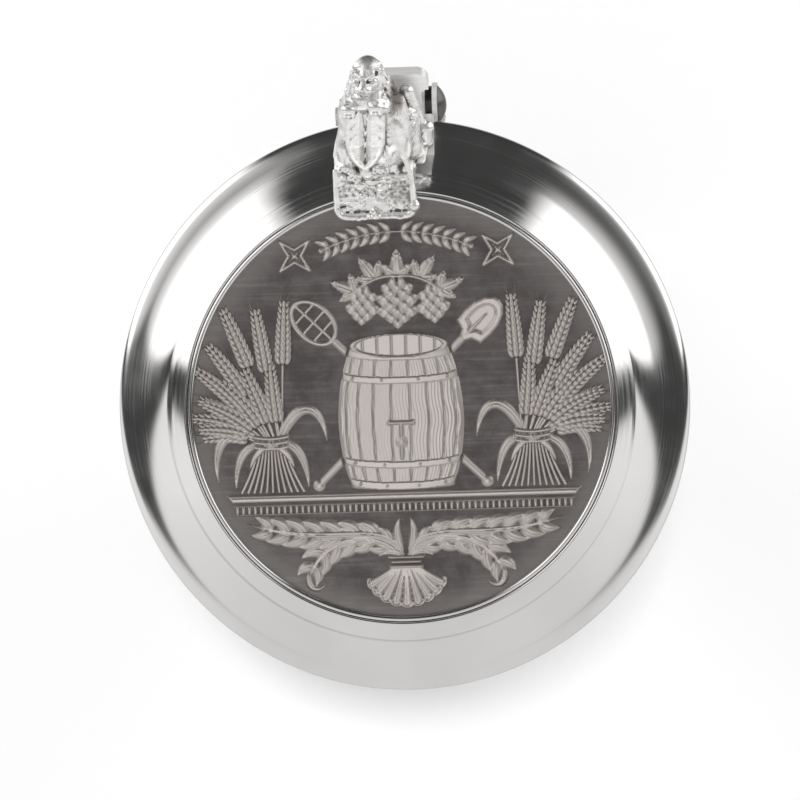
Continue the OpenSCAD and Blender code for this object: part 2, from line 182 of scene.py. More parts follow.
def add(tree, kind, inputs=None, **settings):
    """Adds a node; an input that is given a socket is linked, any other is set."""
    node = tree.nodes.new(kind)
    for key, value in settings.items():
        setattr(node, key, value)
    for key, value in (inputs or {}).items():
        if isinstance(value, bpy.types.NodeSocket):
            tree.links.new(value, node.inputs[key])
        else:
            node.inputs[key].default_value = value
    return node


def maths(tree, operation, *values):
    """Result of a Math node."""
    return add(tree, "ShaderNodeMath", dict(enumerate(values)), operation=operation).outputs[0]


def smooth_range(tree, value, low, high, out_low=0.0, out_high=1.0):
    """Value eased from one range to another."""
    node = add(tree, "ShaderNodeMapRange", {"Value": value, "From Min": low, "From Max": high,
                                            "To Min": out_low, "To Max": out_high},
               interpolation_type="SMOOTHSTEP")
    return node.outputs["Result"]


def mix_colour(tree, factor, first, second):
    """Colour between two others."""
    return add(tree, "ShaderNodeMix", {0: factor, 6: first, 7: second}, data_type="RGBA").outputs[2]


def noise(tree, where, scale, detail, roughness=0.5):
    """Cloudy pattern, from 0 to 1."""
    return add(tree, "ShaderNodeTexNoise", {"Vector": where, "Scale": scale, "Detail": detail,
                                            "Roughness": roughness}).outputs["Fac"]


def wear_and_shade_of(tree):
    """How rubbed a piece is at each point, with its painted shade and highlights, from its own attribute."""
    return add(tree, "ShaderNodeAttribute", attribute_name="wear_and_shade", attribute_type="GEOMETRY").outputs["Fac"]


def rgba(colour):
    """Colour with full alpha."""
    return (*colour[:3], 1.0)


FLOAT = "NodeSocketFloat"
VECTOR = "NodeSocketVector"


def new_group(name, label, value):
    """Empty shader group: a vector and one number go in, a height and a mask come out."""
    tree = bpy.data.node_groups.new(name, "ShaderNodeTree")
    tree.interface.new_socket(name="Vector", in_out="INPUT", socket_type=VECTOR)
    tree.interface.new_socket(name=label, in_out="INPUT", socket_type=FLOAT).default_value = value
    for output in ("Height", "Mask"):
        tree.interface.new_socket(name=output, in_out="OUTPUT", socket_type=FLOAT)
    return tree, tree.nodes.new("NodeGroupInput"), tree.nodes.new("NodeGroupOutput")


def turning_group():
    """Fine rings round the Z axis, as a lathe tool leaves them."""
    if "Turning lines" in bpy.data.node_groups:
        return bpy.data.node_groups["Turning lines"]
    tree, ins, outs = new_group("Turning lines", "Lines", 9000.0)
    parts = add(tree, "ShaderNodeSeparateXYZ", {0: ins.outputs["Vector"]})
    flat = add(tree, "ShaderNodeCombineXYZ", {0: parts.outputs[0], 1: parts.outputs[1]})
    radius = add(tree, "ShaderNodeVectorMath", {0: flat.outputs[0]}, operation="LENGTH").outputs["Value"]
    along = maths(tree, "ADD", radius, maths(tree, "MULTIPLY", parts.outputs[2], 0.7))
    fine = add(tree, "ShaderNodeTexNoise", {"W": along, "Scale": ins.outputs["Lines"], "Detail": 3.0},
               noise_dimensions="1D")
    patch = noise(tree, ins.outputs["Vector"], 120.0, 2.0)
    tree.links.new(fine.outputs["Fac"], outs.inputs["Height"])
    tree.links.new(maths(tree, "MULTIPLY", fine.outputs["Fac"], patch), outs.inputs["Mask"])
    return tree


def scratch_group():
    """Straight hairline scratches in three directions."""
    if "Hairlines" in bpy.data.node_groups:
        return bpy.data.node_groups["Hairlines"]
    tree, ins, outs = new_group("Hairlines", "Scale", 900.0)
    layers = []
    for turn, stretch in ((0.35, 0.035), (-0.6, 0.05), (1.2, 0.04)):
        spin = add(tree, "ShaderNodeMapping", {"Vector": ins.outputs["Vector"], "Rotation": (0, 0, turn),
                                               "Scale": (stretch, 1.0, 1.0)})
        layers.append(noise(tree, spin.outputs[0], ins.outputs["Scale"], 5.0, 0.6))
    height = maths(tree, "MAXIMUM", maths(tree, "MAXIMUM", layers[0], layers[1]), layers[2])
    tree.links.new(height, outs.inputs["Height"])
    tree.links.new(smooth_range(tree, height, 0.52, 0.72), outs.inputs["Mask"])
    return tree


def use_group(tree, group, inputs):
    """Places a shader group in a material."""
    return add(tree, "ShaderNodeGroup", inputs, node_tree=group)


def new_material(name, **sockets):
    """Principled material; the words set plain sockets."""
    material = bpy.data.materials.new(name)
    material.use_nodes = True
    tree = material.node_tree
    tree.nodes.clear()
    shader = add(tree, "ShaderNodeBsdfPrincipled", {k.replace("_", " "): v for k, v in sockets.items()})
    output = tree.nodes.new("ShaderNodeOutputMaterial")
    tree.links.new(shader.outputs["BSDF"], output.inputs["Surface"])
    return material, tree, shader


def object_coords(tree):
    """Object coordinates, in metres."""
    return tree.nodes.new("ShaderNodeTexCoord").outputs["Object"]


def bump(tree, shader, height, strength, distance):
    """Bump on a shader's normal."""
    node = add(tree, "ShaderNodeBump", {"Height": height, "Strength": strength, "Distance": distance})
    tree.links.new(node.outputs["Normal"], shader.inputs["Normal"])


# Materials


def polished_pewter(colour):
    """Bright turned pewter with fine rings and faint clouding."""
    material, tree, shader = new_material("polished_pewter", Metallic=1.0)
    where = object_coords(tree)
    rings = use_group(tree, turning_group(), {"Vector": where, "Lines": 5200.0})
    shade = smooth_range(tree, noise(tree, where, 60.0, 4.0), 0.35, 0.7)
    darker = tuple(c * 0.93 for c in colour)
    tree.links.new(mix_colour(tree, shade, rgba(darker), rgba(colour)), shader.inputs["Base Color"])
    rough = smooth_range(tree, rings.outputs["Mask"], 0.1, 0.45, 0.11, 0.2)
    tree.links.new(rough, shader.inputs["Roughness"])
    bump(tree, shader, rings.outputs["Height"], 0.10, 0.00002)
    return material


def antique_pewter():
    """Darkened pewter, rubbed bright where the piece's wear says so, with painted highlights on the relief's
    ridges, brushed in between.
    """
    material, tree, shader = new_material("antique_pewter", Metallic=0.92)
    where = object_coords(tree)
    lines = use_group(tree, scratch_group(), {"Vector": where, "Scale": 1500.0})
    grime = noise(tree, where, 260.0, 6.0, 0.65)
    patch = smooth_range(tree, grime, 0.3, 0.7)
    brushed = maths(tree, "MULTIPLY", lines.outputs["Mask"], smooth_range(tree, grime, 0.3, 0.7, 0.03, 0.12))
    polish = smooth_range(tree, noise(tree, where, 130.0, 2.0), 0.35, 0.65, 0.4, 0.85)
    polish = maths(tree, "ADD", polish, maths(tree, "MULTIPLY", patch, 0.15))
    # Brightness from rubbing and the painted ridge highlights, or from brushing
    rub_and_highlight = maths(tree, "MAXIMUM", maths(tree, "MULTIPLY", wear_and_shade_of(tree), polish), brushed)
    ground = mix_colour(tree, patch, (0.145, 0.13, 0.126, 1), (0.23, 0.21, 0.204, 1))
    flat = add(tree, "ShaderNodeVectorMath", {0: where, 1: (1, 1, 0)}, operation="MULTIPLY").outputs[0]
    radius = add(tree, "ShaderNodeVectorMath", {0: flat}, operation="LENGTH").outputs["Value"]
    border = smooth_range(tree, radius, 27.5 * MM, 32.5 * MM, 0.0, 0.8)
    ground = mix_colour(tree, border, ground, (0.36, 0.335, 0.325, 1))
    tree.links.new(mix_colour(tree, rub_and_highlight, ground, (0.94, 0.92, 0.90, 1)), shader.inputs["Base Color"])
    tree.links.new(smooth_range(tree, rub_and_highlight, 0.0, 1.0, 0.38, 0.25), shader.inputs["Roughness"])
    bump(tree, shader, lines.outputs["Height"], 0.2, 0.00003)
    return material


def plated_casting():
    """Bright plating over a soft casting, dark in its hollows, where dark patina and painted shade are mixed,
    and in painted darker patches.
    """
    material, tree, shader = new_material("plated_casting", Metallic=0.8)
    wear_and_shade = wear_and_shade_of(tree)
    grain = noise(tree, object_coords(tree), 900.0, 4.0)
    tone = smooth_range(tree, grain, 0.3, 0.7)
    bright = mix_colour(tree, tone, (0.71, 0.7, 0.685, 1), (0.86, 0.855, 0.845, 1))
    # Dark where the attribute is low: patina with painted shade in hollows, and painted darker patches
    shade = smooth_range(tree, maths(tree, "MULTIPLY_ADD", tone, 0.12, wear_and_shade), 0.0, 0.75)
    tree.links.new(mix_colour(tree, shade, (0.13, 0.112, 0.098, 1), bright), shader.inputs["Base Color"])
    tree.links.new(smooth_range(tree, wear_and_shade, 0.0, 1.0, 0.4, 0.24), shader.inputs["Roughness"])
    bump(tree, shader, grain, 0.2, 0.0001)
    return material


def brushed_metal(name, colour, rough_low, rough_high, metal):
    """Satin metal with hairlines."""
    material, tree, shader = new_material(name, Metallic=metal)
    lines = use_group(tree, scratch_group(), {"Vector": object_coords(tree), "Scale": 1100.0})
    darker = tuple(c * 0.82 for c in colour)
    tone = mix_colour(tree, lines.outputs["Mask"], rgba(darker), rgba(colour))
    tree.links.new(tone, shader.inputs["Base Color"])
    tree.links.new(smooth_range(tree, lines.outputs["Height"], 0.4, 0.75, rough_low, rough_high),
                   shader.inputs["Roughness"])
    bump(tree, shader, lines.outputs["Height"], 0.15, 0.00003)
    return material


def liner_rubber():
    """Soft black strip with a fine matte grain."""
    material, tree, shader = new_material("liner_rubber", Roughness=0.75)
    grain = noise(tree, object_coords(tree), 1400.0, 3.0)
    tone = smooth_range(tree, grain, 0.3, 0.7)
    tone = mix_colour(tree, tone, (0.02, 0.02, 0.02, 1), (0.045, 0.044, 0.043, 1))
    tree.links.new(tone, shader.inputs["Base Color"])
    bump(tree, shader, grain, 0.3, 0.00005)
    return material


def clear_glass(tint):
    """Clear pressed glass with a faint waviness."""
    material, tree, shader = new_material("clear_glass", Metallic=0.0, IOR=1.5, Transmission_Weight=1.0)
    wave = noise(tree, object_coords(tree), 26.0, 1.0)
    shader.inputs["Base Color"].default_value = rgba(tint)
    tree.links.new(smooth_range(tree, wave, 0.3, 0.7, 0.0, 0.02), shader.inputs["Roughness"])
    bump(tree, shader, wave, 0.05, 0.0004)
    return material


# Mesh helpers


def arc(cx, cy, r, start, end, steps=20):
    """Points along a circular arc, in degrees."""
    angles = np.radians(np.linspace(start, end, steps + 1))
    return [(cx + r * math.cos(a), cy + r * math.sin(a)) for a in angles]


def lathe(outline, segments=256):
    """Turns a closed half section (radius, height) about the Z axis; points on the axis become poles."""
    verts, rows = [], []
    for r, z in outline:
        if r < 1e-6:
            rows.append([len(verts)] * segments)
            verts.append((0.0, 0.0, z))
            continue
        rows.append(list(range(len(verts), len(verts) + segments)))
        for i in range(segments):
            a = 2 * math.pi * i / segments
            verts.append((r * math.cos(a), r * math.sin(a), z))
    faces = []
    closed = outline[0][0] > 1e-6 or outline[-1][0] > 1e-6
    count = len(rows) if closed else len(rows) - 1
    for k in range(count):
        low, high = rows[k], rows[(k + 1) % len(rows)]
        for i in range(segments):
            j = (i + 1) % segments
            corners = [low[i], low[j], high[j], high[i]]
            face = [c for n, c in enumerate(corners) if c not in corners[:n]]
            if len(face) > 2:
                faces.append(face)
    return verts, faces


def make_piece(name, verts, faces, material, body, replaces=(), sharp_deg=35.0):
    """Mesh in millimetres, made a finished piece in metres that rides on a body."""
    mesh = bpy.data.meshes.new(name)
    mesh.from_pydata([Vector(v) * MM for v in verts], [], faces)
    finish_mesh(mesh, sharp_deg)
    return finish_piece(name, mesh, material, body, replaces)


def finish_mesh(mesh, sharp_deg):
    """Outward faces and smooth shading with crisp edges."""
    work = bmesh.new()
    work.from_mesh(mesh)
    bmesh.ops.remove_doubles(work, verts=work.verts, dist=1e-8)
    bmesh.ops.recalc_face_normals(work, faces=work.faces)
    work.to_mesh(mesh)
    work.free()
    mesh.shade_smooth()
    mesh.set_sharp_from_angle(angle=math.radians(sharp_deg))


def finish_piece(name, mesh, material, body, replaces=()):
    """Object for a finished mesh, with its material and its body; the nodes that it stands for are hidden."""
    piece = bpy.data.objects.new(name, mesh)
    bpy.context.scene.collection.objects.link(piece)
    mesh.materials.clear()
    mesh.materials.append(material)
    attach(piece, body)
    if replaces:
        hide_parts(*replaces)
    return piece


def dress(node, material):
    """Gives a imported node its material."""
    packed = frame["nodes"][node]
    packed.data.materials.clear()
    packed.data.materials.append(material)


# Outlines


def ease(s):
    """Step from 0 to 1 with level ends."""
    return s * s * (3 - 2 * s)


class GlassOutline:
    """Radius of the glass by height, in millimetres, from the stations in the glass's sizes."""

    def __init__(self, sizes):
        mm = {key: getattr(sizes, key) / MM for key in sizes.__annotations__ if key != "tint"}
        self.mm = mm
        self.rim = GLASS_HIGH.z
        self.neck_z = self.rim - mm["neck_length"]
        self.stations = [(mm["foot_edge"], mm["foot_radius"]), (mm["waist_height"], mm["waist_radius"]),
                         (mm["belly_height"], GLASS_HIGH.x), (self.neck_z, mm["neck_radius"])]

    def radius(self, z):
        """Outer radius at a height."""
        for (z0, r0), (z1, r1) in zip(self.stations, self.stations[1:]):
            if z <= z1:
                return r0 + (r1 - r0) * ease(max(0.0, (z - z0) / (z1 - z0)))
        return self.mm["neck_radius"]

    def section(self):
        """Closed half section: hollow foot, outside, rim, inside and bowl."""
        mm = self.mm
        foot_in = mm["foot_radius"] - mm["foot_edge"] - mm["foot_ring"]
        bottom_z = mm["bottom"] + mm["bottom_round"]
        wall = mm["wall"]
        outside = [(self.radius(z), z) for z in np.linspace(mm["foot_edge"], self.neck_z, 90)[1:]]
        inside = [(self.radius(z) - wall, z) for z in np.linspace(self.neck_z, bottom_z, 80)]
        bowl_r = self.radius(bottom_z) - wall
        bowl = [(bowl_r * math.cos(a), bottom_z - mm["bottom_round"] * math.sin(a))
                for a in np.radians(np.linspace(0, 90, 25)[1:])]
        punt = [(foot_in * s, mm["punt"] * (1 - ease(s))) for s in np.linspace(0, 1, 20)]
        return (punt + arc(mm["foot_radius"] - mm["foot_edge"], mm["foot_edge"], mm["foot_edge"], -90, 0, 10)
                + outside + arc(mm["neck_radius"] - wall / 2, self.rim - wall / 2, wall / 2, 0, 180, 16)
                + inside + bowl)


class LidOutline:
    """Mouldings of the lid in millimetres; heights are above the lid's underside."""

    def __init__(self, sizes):
        angles = ("cove_slope", "shoulder_low", "shoulder_high")
        lengths = [key for key in sizes.__annotations__ if key not in ("pewter", *angles)]
        mm = {key: getattr(sizes, key) / MM for key in lengths}
        self.mm = mm
        self.slope, self.low, self.high = (getattr(sizes, key) for key in angles)
        self.underside = BRIM_LOW.z + mm["skirt_depth"]
        self.edge = BRIM_HIGH.x - mm["edge_radius"]
        self.cove_r = mm["cove_width"] / math.sin(self.slope)
        self.cove_in = self.edge - mm["cove_width"]
        self.cove_top = 2 * mm["edge_radius"] + self.cove_r * (1 - math.cos(self.slope))
        self.shoulder_r = mm["shoulder_width"] / (math.sin(self.low) - math.sin(self.high))
        self.shoulder_in = self.cove_in - mm["step_width"] - mm["shoulder_width"]
        self.shoulder_top = self.cove_top + self.shoulder_r * (math.cos(self.high) - math.cos(self.low))
        self.field = self.shoulder_top - mm["field_drop"]
        self.disc_r = DISC_HIGH.x

    def section(self):
        """Closed half section: skirt, underside, edge, mouldings and the ledge for the disc."""
        mm = self.mm
        skirt_in = mm["skirt_radius"]
        skirt_out = skirt_in + mm["skirt_thickness"]
        ledge_z = self.field - mm["disc_thickness"] - SEAT_GAP
        ledge_in = self.disc_r - mm["ledge_width"]
        rounded = 0.4
        points = (
            arc(skirt_in + rounded, -mm["skirt_depth"] + rounded, rounded, 180, 270, 5)
            + arc(skirt_out - rounded, -mm["skirt_depth"] + rounded, rounded, 270, 360, 5)
            + [(skirt_out, 0)] + self.edge_points() + self.shoulder_points()
            + [(self.shoulder_in, ledge_z), (ledge_in, ledge_z), (ledge_in, ledge_z - mm["ledge_thickness"]),
               (skirt_in, ledge_z - mm["ledge_thickness"])])
        return [(r, z + self.underside) for r, z in points]

    def edge_points(self):
        """Rounded edge, which runs into the hollow moulding without a level place."""
        start_deg, knee_deg, gentle = 7, 14, 11.0
        start, knee = math.radians(start_deg), math.radians(knee_deg)
        base = 2 * self.mm["edge_radius"] + self.cove_r
        r0, z0 = self.edge - self.cove_r * math.sin(start), base - self.cove_r * math.cos(start)
        r1 = r0 + gentle * (math.sin(knee) - math.sin(start))
        z1 = z0 - gentle * (math.cos(start) - math.cos(knee))
        nose = (BRIM_HIGH.x - r1) / (1 - math.sin(knee))
        gentle_r, gentle_z = r0 - gentle * math.sin(start), z0 - gentle * math.cos(start)
        return (arc(BRIM_HIGH.x - nose, z1 - nose * math.cos(knee), nose, -90, 90 - knee_deg, 24)
                + arc(gentle_r, gentle_z, gentle, 90 - knee_deg, 90 - start_deg, 8)[1:]
                + arc(self.edge, base, self.cove_r, -90 - start_deg, -90 - math.degrees(self.slope), 40)[1:])

    def shoulder_points(self):
        """Sloping shoulder with a small rounded lip at its top."""
        mid_r = self.shoulder_in - self.shoulder_r * math.sin(self.high)
        mid_z = self.shoulder_top - self.shoulder_r * math.cos(self.high)
        lip, step_deg = 0.3, 1.1
        last = math.asin(math.sin(self.high) + lip * (1 + math.sin(self.high)) / self.shoulder_r)
        foot_deg, lip_deg = 90 + step_deg - math.degrees(self.low), 90 - math.degrees(last)
        slope = arc(mid_r, mid_z, self.shoulder_r, foot_deg, lip_deg, 24)
        lip_z = slope[-1][1] - lip * math.cos(last)
        return slope + arc(self.shoulder_in + lip, lip_z, lip, lip_deg, 180, 12)[1:]

    def top(self):
        """Radii and heights of the lid's upper side: level over the wire, just off the ground inside it."""
        points = self.section()
        edge = max(range(len(points)), key=lambda k: points[k][0])
        last = max(range(len(points)), key=lambda k: points[k][1])
        clear, wire_room, riser = 0.15, 1.1, 0.1
        low, wire = self.underside + self.field + clear, self.disc_r - wire_room
        shown = [(0.0, low), (wire, low), (wire + riser, points[last][1])] + points[last:edge - 1:-1]
        shown.append((points[edge][0] + 0.01, 0.0))
        return [p[0] for p in shown], [p[1] for p in shown]


# Raised work of the relief disc

# Step of the grid that the work is drawn on
STEP = 0.12
# Heights of bare ground, and of the lowest point that is meshed
BARE, MESHED = -0.4, -0.12
# How steeply a shape falls away past its edge
FALL = 1.3
# Radius that the motifs are drawn for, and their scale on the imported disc
DRAWN_RADIUS = 34.05
SPREAD = DISC_HIGH.x / DRAWN_RADIUS


def curve(*points, n=16):
    """Points along the Bezier curve of some control points."""
    t = np.linspace(0, 1, n + 1)[:, None]
    level = [np.array(p, float)[None, :] + 0 * t for p in points]
    while len(level) > 1:
        level = [a + (b - a) * t for a, b in zip(level, level[1:])]
    return level[0]


def nearest(x, y, path):
    """Signed distance to a path, left positive, and the place along it from 0 to 1."""
    path = np.asarray(path, float)
    steps = np.hypot(*np.diff(path, axis=0).T)
    starts = np.concatenate([[0], np.cumsum(steps)])
    best = np.full(x.shape, 1e9)
    side = np.zeros(x.shape)
    along = np.zeros(x.shape)
    for (ax, ay), (bx, by), start, length in zip(path, path[1:], starts, steps):
        ux, uy = (bx - ax) / length, (by - ay) / length
        s = np.clip((x - ax) * ux + (y - ay) * uy, 0, length)
        dx, dy = x - ax - s * ux, y - ay - s * uy
        d = np.hypot(dx, dy)
        closer = d < best
        best = np.where(closer, d, best)
        side = np.where(closer, np.where(ux * dy - uy * dx >= 0, d, -d), side)
        along = np.where(closer, (start + s) / starts[-1], along)
    return side, along


def inside(x, y, loop):
    """True inside a closed outline."""
    odd = np.zeros(x.shape, bool)
    for (ax, ay), (bx, by) in zip(loop, np.roll(loop, -1, axis=0)):
        if ay != by:
            odd ^= ((ay > y) != (by > y)) & (x < (bx - ax) * (y - ay) / (by - ay) + ax)
    return odd


def slope_off(depth, top, bevel):
    """Height of a raised shape from the depth inside its edge; outside it falls away."""
    q = np.clip(depth / bevel, 0, 1)
    return np.where(depth > 0, top * (1 - (1 - q) ** 2.2), depth * FALL)


class Relief:
    """Raised work on a grid over part of the disc; heights are above the disc's ground, in millimetres."""

    def __init__(self, x_low, x_high, y_low, y_high):
        spans = ((x_low, x_high), (y_low, y_high))
        self.x, self.y = np.meshgrid(*(np.arange(low, high + STEP, STEP) for low, high in spans))
        self.low = (x_low, y_low)
        self.h = np.full(self.x.shape, BARE)

    def part(self, points, margin):
        """Slice of the grid round some points."""
        points = np.asarray(points, float)
        (x0, y0), (x1, y1) = points.min(axis=0) - margin, points.max(axis=0) + margin
        rows, cols = self.h.shape
        c0, c1 = (int((v - self.low[0]) / STEP) for v in (x0, x1))
        r0, r1 = (int((v - self.low[1]) / STEP) for v in (y0, y1))
        return np.s_[max(r0, 0):min(max(r1 + 2, 0), rows), max(c0, 0):min(max(c1 + 2, 0), cols)]

    def put(self, cut, height):
        """Keeps the higher of what is there and a new shape."""
        np.maximum(self.h[cut], height, out=self.h[cut])

    def stroke(self, path, half, top, taper=0.0, crisp=2.6, base=0.0):
        """Raised line; taper is how much of its width is gone at its end."""
        cut = self.part(path, half + 0.5)
        side, along = nearest(self.x[cut], self.y[cut], path)
        wide = half * (1 - taper * along)
        q = np.abs(side) / wide
        crown = base + (top - base) * (1 - np.minimum(q, 1) ** crisp)
        self.put(cut, np.where(q < 1, crown, base + (1 - q) * wide * FALL))

    def leaf(self, path, width, top, rib=0.12, belly=0.75, rib_half=0.11, lift=0.5):
        """Leaf along a path, widest part way up, with a sunk rib."""
        cut = self.part(path, width + 0.5)
        side, along = nearest(self.x[cut], self.y[cut], path)
        wide = np.maximum(width * np.sin(np.pi * np.clip(along, 0.004, 0.996) ** belly) ** 0.75, 0.03)
        q = np.abs(side) / wide
        crown = top * (lift + (1 - lift) * np.sin(np.pi * along ** 0.8))
        height = np.where(q < 1, crown * (1 - np.minimum(q, 1) ** 2.6), (1 - q) * wide * FALL)
        height -= rib * np.exp(-(side / rib_half) ** 2) * np.clip((0.93 - along) * 8, 0, 1)
        self.put(cut, height)

    def plate(self, loop, top, bevel):
        """Flat raised shape with a rounded edge."""
        loop = np.asarray(loop, float)
        cut = self.part(loop, 0.5)
        x, y = self.x[cut], self.y[cut]
        side, _ = nearest(x, y, np.vstack([loop, loop[:1]]))
        depth = np.where(inside(x, y, loop), np.abs(side), -np.abs(side))
        self.put(cut, slope_off(depth, top, bevel))

    def dome(self, cx, cy, r, top):
        """Round boss."""
        cut = self.part([(cx, cy)], r + 0.5)
        d = np.hypot(self.x[cut] - cx, self.y[cut] - cy)
        self.put(cut, np.where(d < r, top * np.sqrt(np.maximum(1 - (d / r) ** 2, 0)), (r - d) * FALL))

    def groove(self, path, half, depth):
        """Engraved line."""
        cut = self.part(path, 3 * half)
        side, _ = nearest(self.x[cut], self.y[cut], path)
        self.h[cut] -= depth * np.exp(-(side / half) ** 2)

    def mirror(self):
        """Adds the same work on the other side of the middle line; the grid must be even about it."""
        np.maximum(self.h, self.h[:, ::-1], out=self.h)


def turn(points, deg, at=(0, 0), scale=1.0):
    """Points turned about the origin, scaled and moved."""
    a = math.radians(deg)
    spin = np.array([[math.cos(a), math.sin(a)], [-math.sin(a), math.cos(a)]]) * scale
    return np.asarray(points, float) @ spin + np.asarray(at, float)


def place_on(path, t):
    """Point and unit direction at a place along a path."""
    path = np.asarray(path, float)
    steps = np.hypot(*np.diff(path, axis=0).T)
    s = t * steps.sum()
    k = min(int(np.searchsorted(np.cumsum(steps), s)), len(steps) - 1)
    s -= steps[:k].sum()
    way = (path[k + 1] - path[k]) / steps[k]
    return path[k] + way * s, way


def frond(work, spine, lobes, reach, width, top, sides=(1, -1), lean=38.0, span=(0.06, 0.9), stem=0.42):
    """Feathered leaf: lobes that curl forward from both sides of a spine."""
    for k in range(lobes):
        share = k / max(lobes - 1, 1)
        t = span[0] + (span[1] - span[0]) * share
        at, way = place_on(spine, t)
        size = reach * (0.62 + 0.38 * math.sin(math.pi * (0.15 + 0.75 * share)))
        for side in sides:
            normal = np.array([-way[1], way[0]]) * side
            a = math.radians(lean)
            tip = at + size * (way * math.cos(a) + normal * math.sin(a))
            knee = at + size * (way * 0.15 + normal * 0.55 * math.sin(a) * 1.6)
            work.leaf(curve(at, knee, tip), width * (0.8 + 0.2 * size / reach), top, rib=0.10, belly=0.62)
    work.leaf(spine, stem * 1.5, top * 1.12, rib=0.0, belly=0.55)
    work.groove(spine[:-2], 0.09, 0.14)


def blur(values, cells):
    """Mean over a square or cubic neighbourhood of each grid point."""
    wide = 2 * cells + 1
    for axis in range(values.ndim):
        pad = [(cells + 1, cells) if k == axis else (0, 0) for k in range(values.ndim)]
        total = np.cumsum(np.pad(values, pad, mode="edge"), axis=axis)
        size = values.shape[axis]
        values = (total.take(range(wide, wide + size), axis) - total.take(range(size), axis)) / wide
    return values


def relief_mesh(name, work, ground):
    """Closed mesh of raised work, in metres, with how rubbed each point is, painted highlights on ridges
    included.
    """
    shown = work.h > MESHED
    cells = shown[:-1, :-1] | shown[1:, :-1] | shown[:-1, 1:] | shown[1:, 1:]
    for _ in range(4):
        a, b, c, d = cells[:-1, :-1], cells[1:, :-1], cells[:-1, 1:], cells[1:, 1:]
        touch = (a & d & ~b & ~c) | (b & c & ~a & ~d)
        for corner in (a, b, c, d):
            np.logical_or(corner, touch, out=corner)
    used = np.zeros(work.h.shape, bool)
    for rows in (np.s_[:-1], np.s_[1:]):
        for cols in (np.s_[:-1], np.s_[1:]):
            used[rows, cols] |= cells
    count = int(used.sum())
    ids = np.full(work.h.shape, -1)
    ids[used] = np.arange(count)
    flat = np.stack([work.x[used], work.y[used]], axis=1) * SPREAD
    lowest, rooted = -0.2, -0.3
    top = np.column_stack([flat, ground + np.maximum(work.h[used], lowest)])
    base = np.column_stack([flat, np.full(count, ground + rooted)])
    j, i = np.nonzero(cells)
    quad = np.stack([ids[j, i], ids[j, i + 1], ids[j + 1, i + 1], ids[j + 1, i]], axis=1)
    faces = [quad, quad[:, ::-1] + count]
    wide = np.pad(cells, 1)
    for dj, di, first, second in ((0, -1, 3, 0), (-1, 0, 0, 1), (0, 1, 1, 2), (1, 0, 2, 3)):
        edge = ~wide[1 + dj:wide.shape[0] - 1 + dj, 1 + di:wide.shape[1] - 1 + di][j, i]
        p, q = quad[edge, first], quad[edge, second]
        faces.append(np.stack([q, p, p + count, q + count], axis=1))
    mesh = bpy.data.meshes.new(name)
    mesh.from_pydata(np.vstack([top, base]) * MM, [], np.vstack(faces).tolist())
    rise = np.maximum(work.h, 0)
    # Raised parts are rubbed bright; the ridge term adds painted highlights along edges
    full_rise, level_share, ridge = 0.36, 0.48, 0.22
    wear_and_shade = np.clip(rise / full_rise, 0, 1) * np.clip(level_share + (rise - blur(rise, 5)) / ridge, 0, 1)
    set_wear_and_shade(mesh, np.concatenate([wear_and_shade[used], np.zeros(count)]))
    mesh.shade_smooth()
    mesh.set_sharp_from_angle(angle=math.radians(75))
    return mesh


def set_wear_and_shade(mesh, values):
    """Stores how rubbed each point is, with painted shade and highlights, from 0 to 1."""
    layer = mesh.attributes.new("wear_and_shade", "FLOAT", "POINT")
    layer.data.foreach_set("value", np.asarray(values, np.float32))


# Geometry node trees for the pieces of the relief that repeat or follow a path


def new_geometry(name, inputs):
    """Empty geometry tree with extra inputs; returns the tree and its two end nodes."""
    tree = bpy.data.node_groups.new(name, "GeometryNodeTree")
    tree.interface.new_socket(name="Geometry", in_out="INPUT", socket_type="NodeSocketGeometry")
    tree.interface.new_socket(name="Geometry", in_out="OUTPUT", socket_type="NodeSocketGeometry")
    for label, kind in inputs:
        tree.interface.new_socket(name=label, in_out="INPUT", socket_type=kind)
    return tree, tree.nodes.new("NodeGroupInput"), tree.nodes.new("NodeGroupOutput")


def vector_maths(tree, operation, *values):
    """Result of a Vector Math node; SCALE takes a vector and a number."""
    keys = (0, "Scale") if operation == "SCALE" else (0, 1)
    return add(tree, "ShaderNodeVectorMath", dict(zip(keys, values)), operation=operation).outputs[0]


def close_tree(tree, outs, geometry, material):
    """Ends a tree: realised, smooth and with its material."""
    real = add(tree, "GeometryNodeRealizeInstances", {"Geometry": geometry})
    smooth = add(tree, "GeometryNodeSetShadeSmooth", {0: real.outputs[0]})
    done = add(tree, "GeometryNodeSetMaterial", {"Geometry": smooth.outputs[0], "Material": material})
    tree.links.new(done.outputs[0], outs.inputs[0])


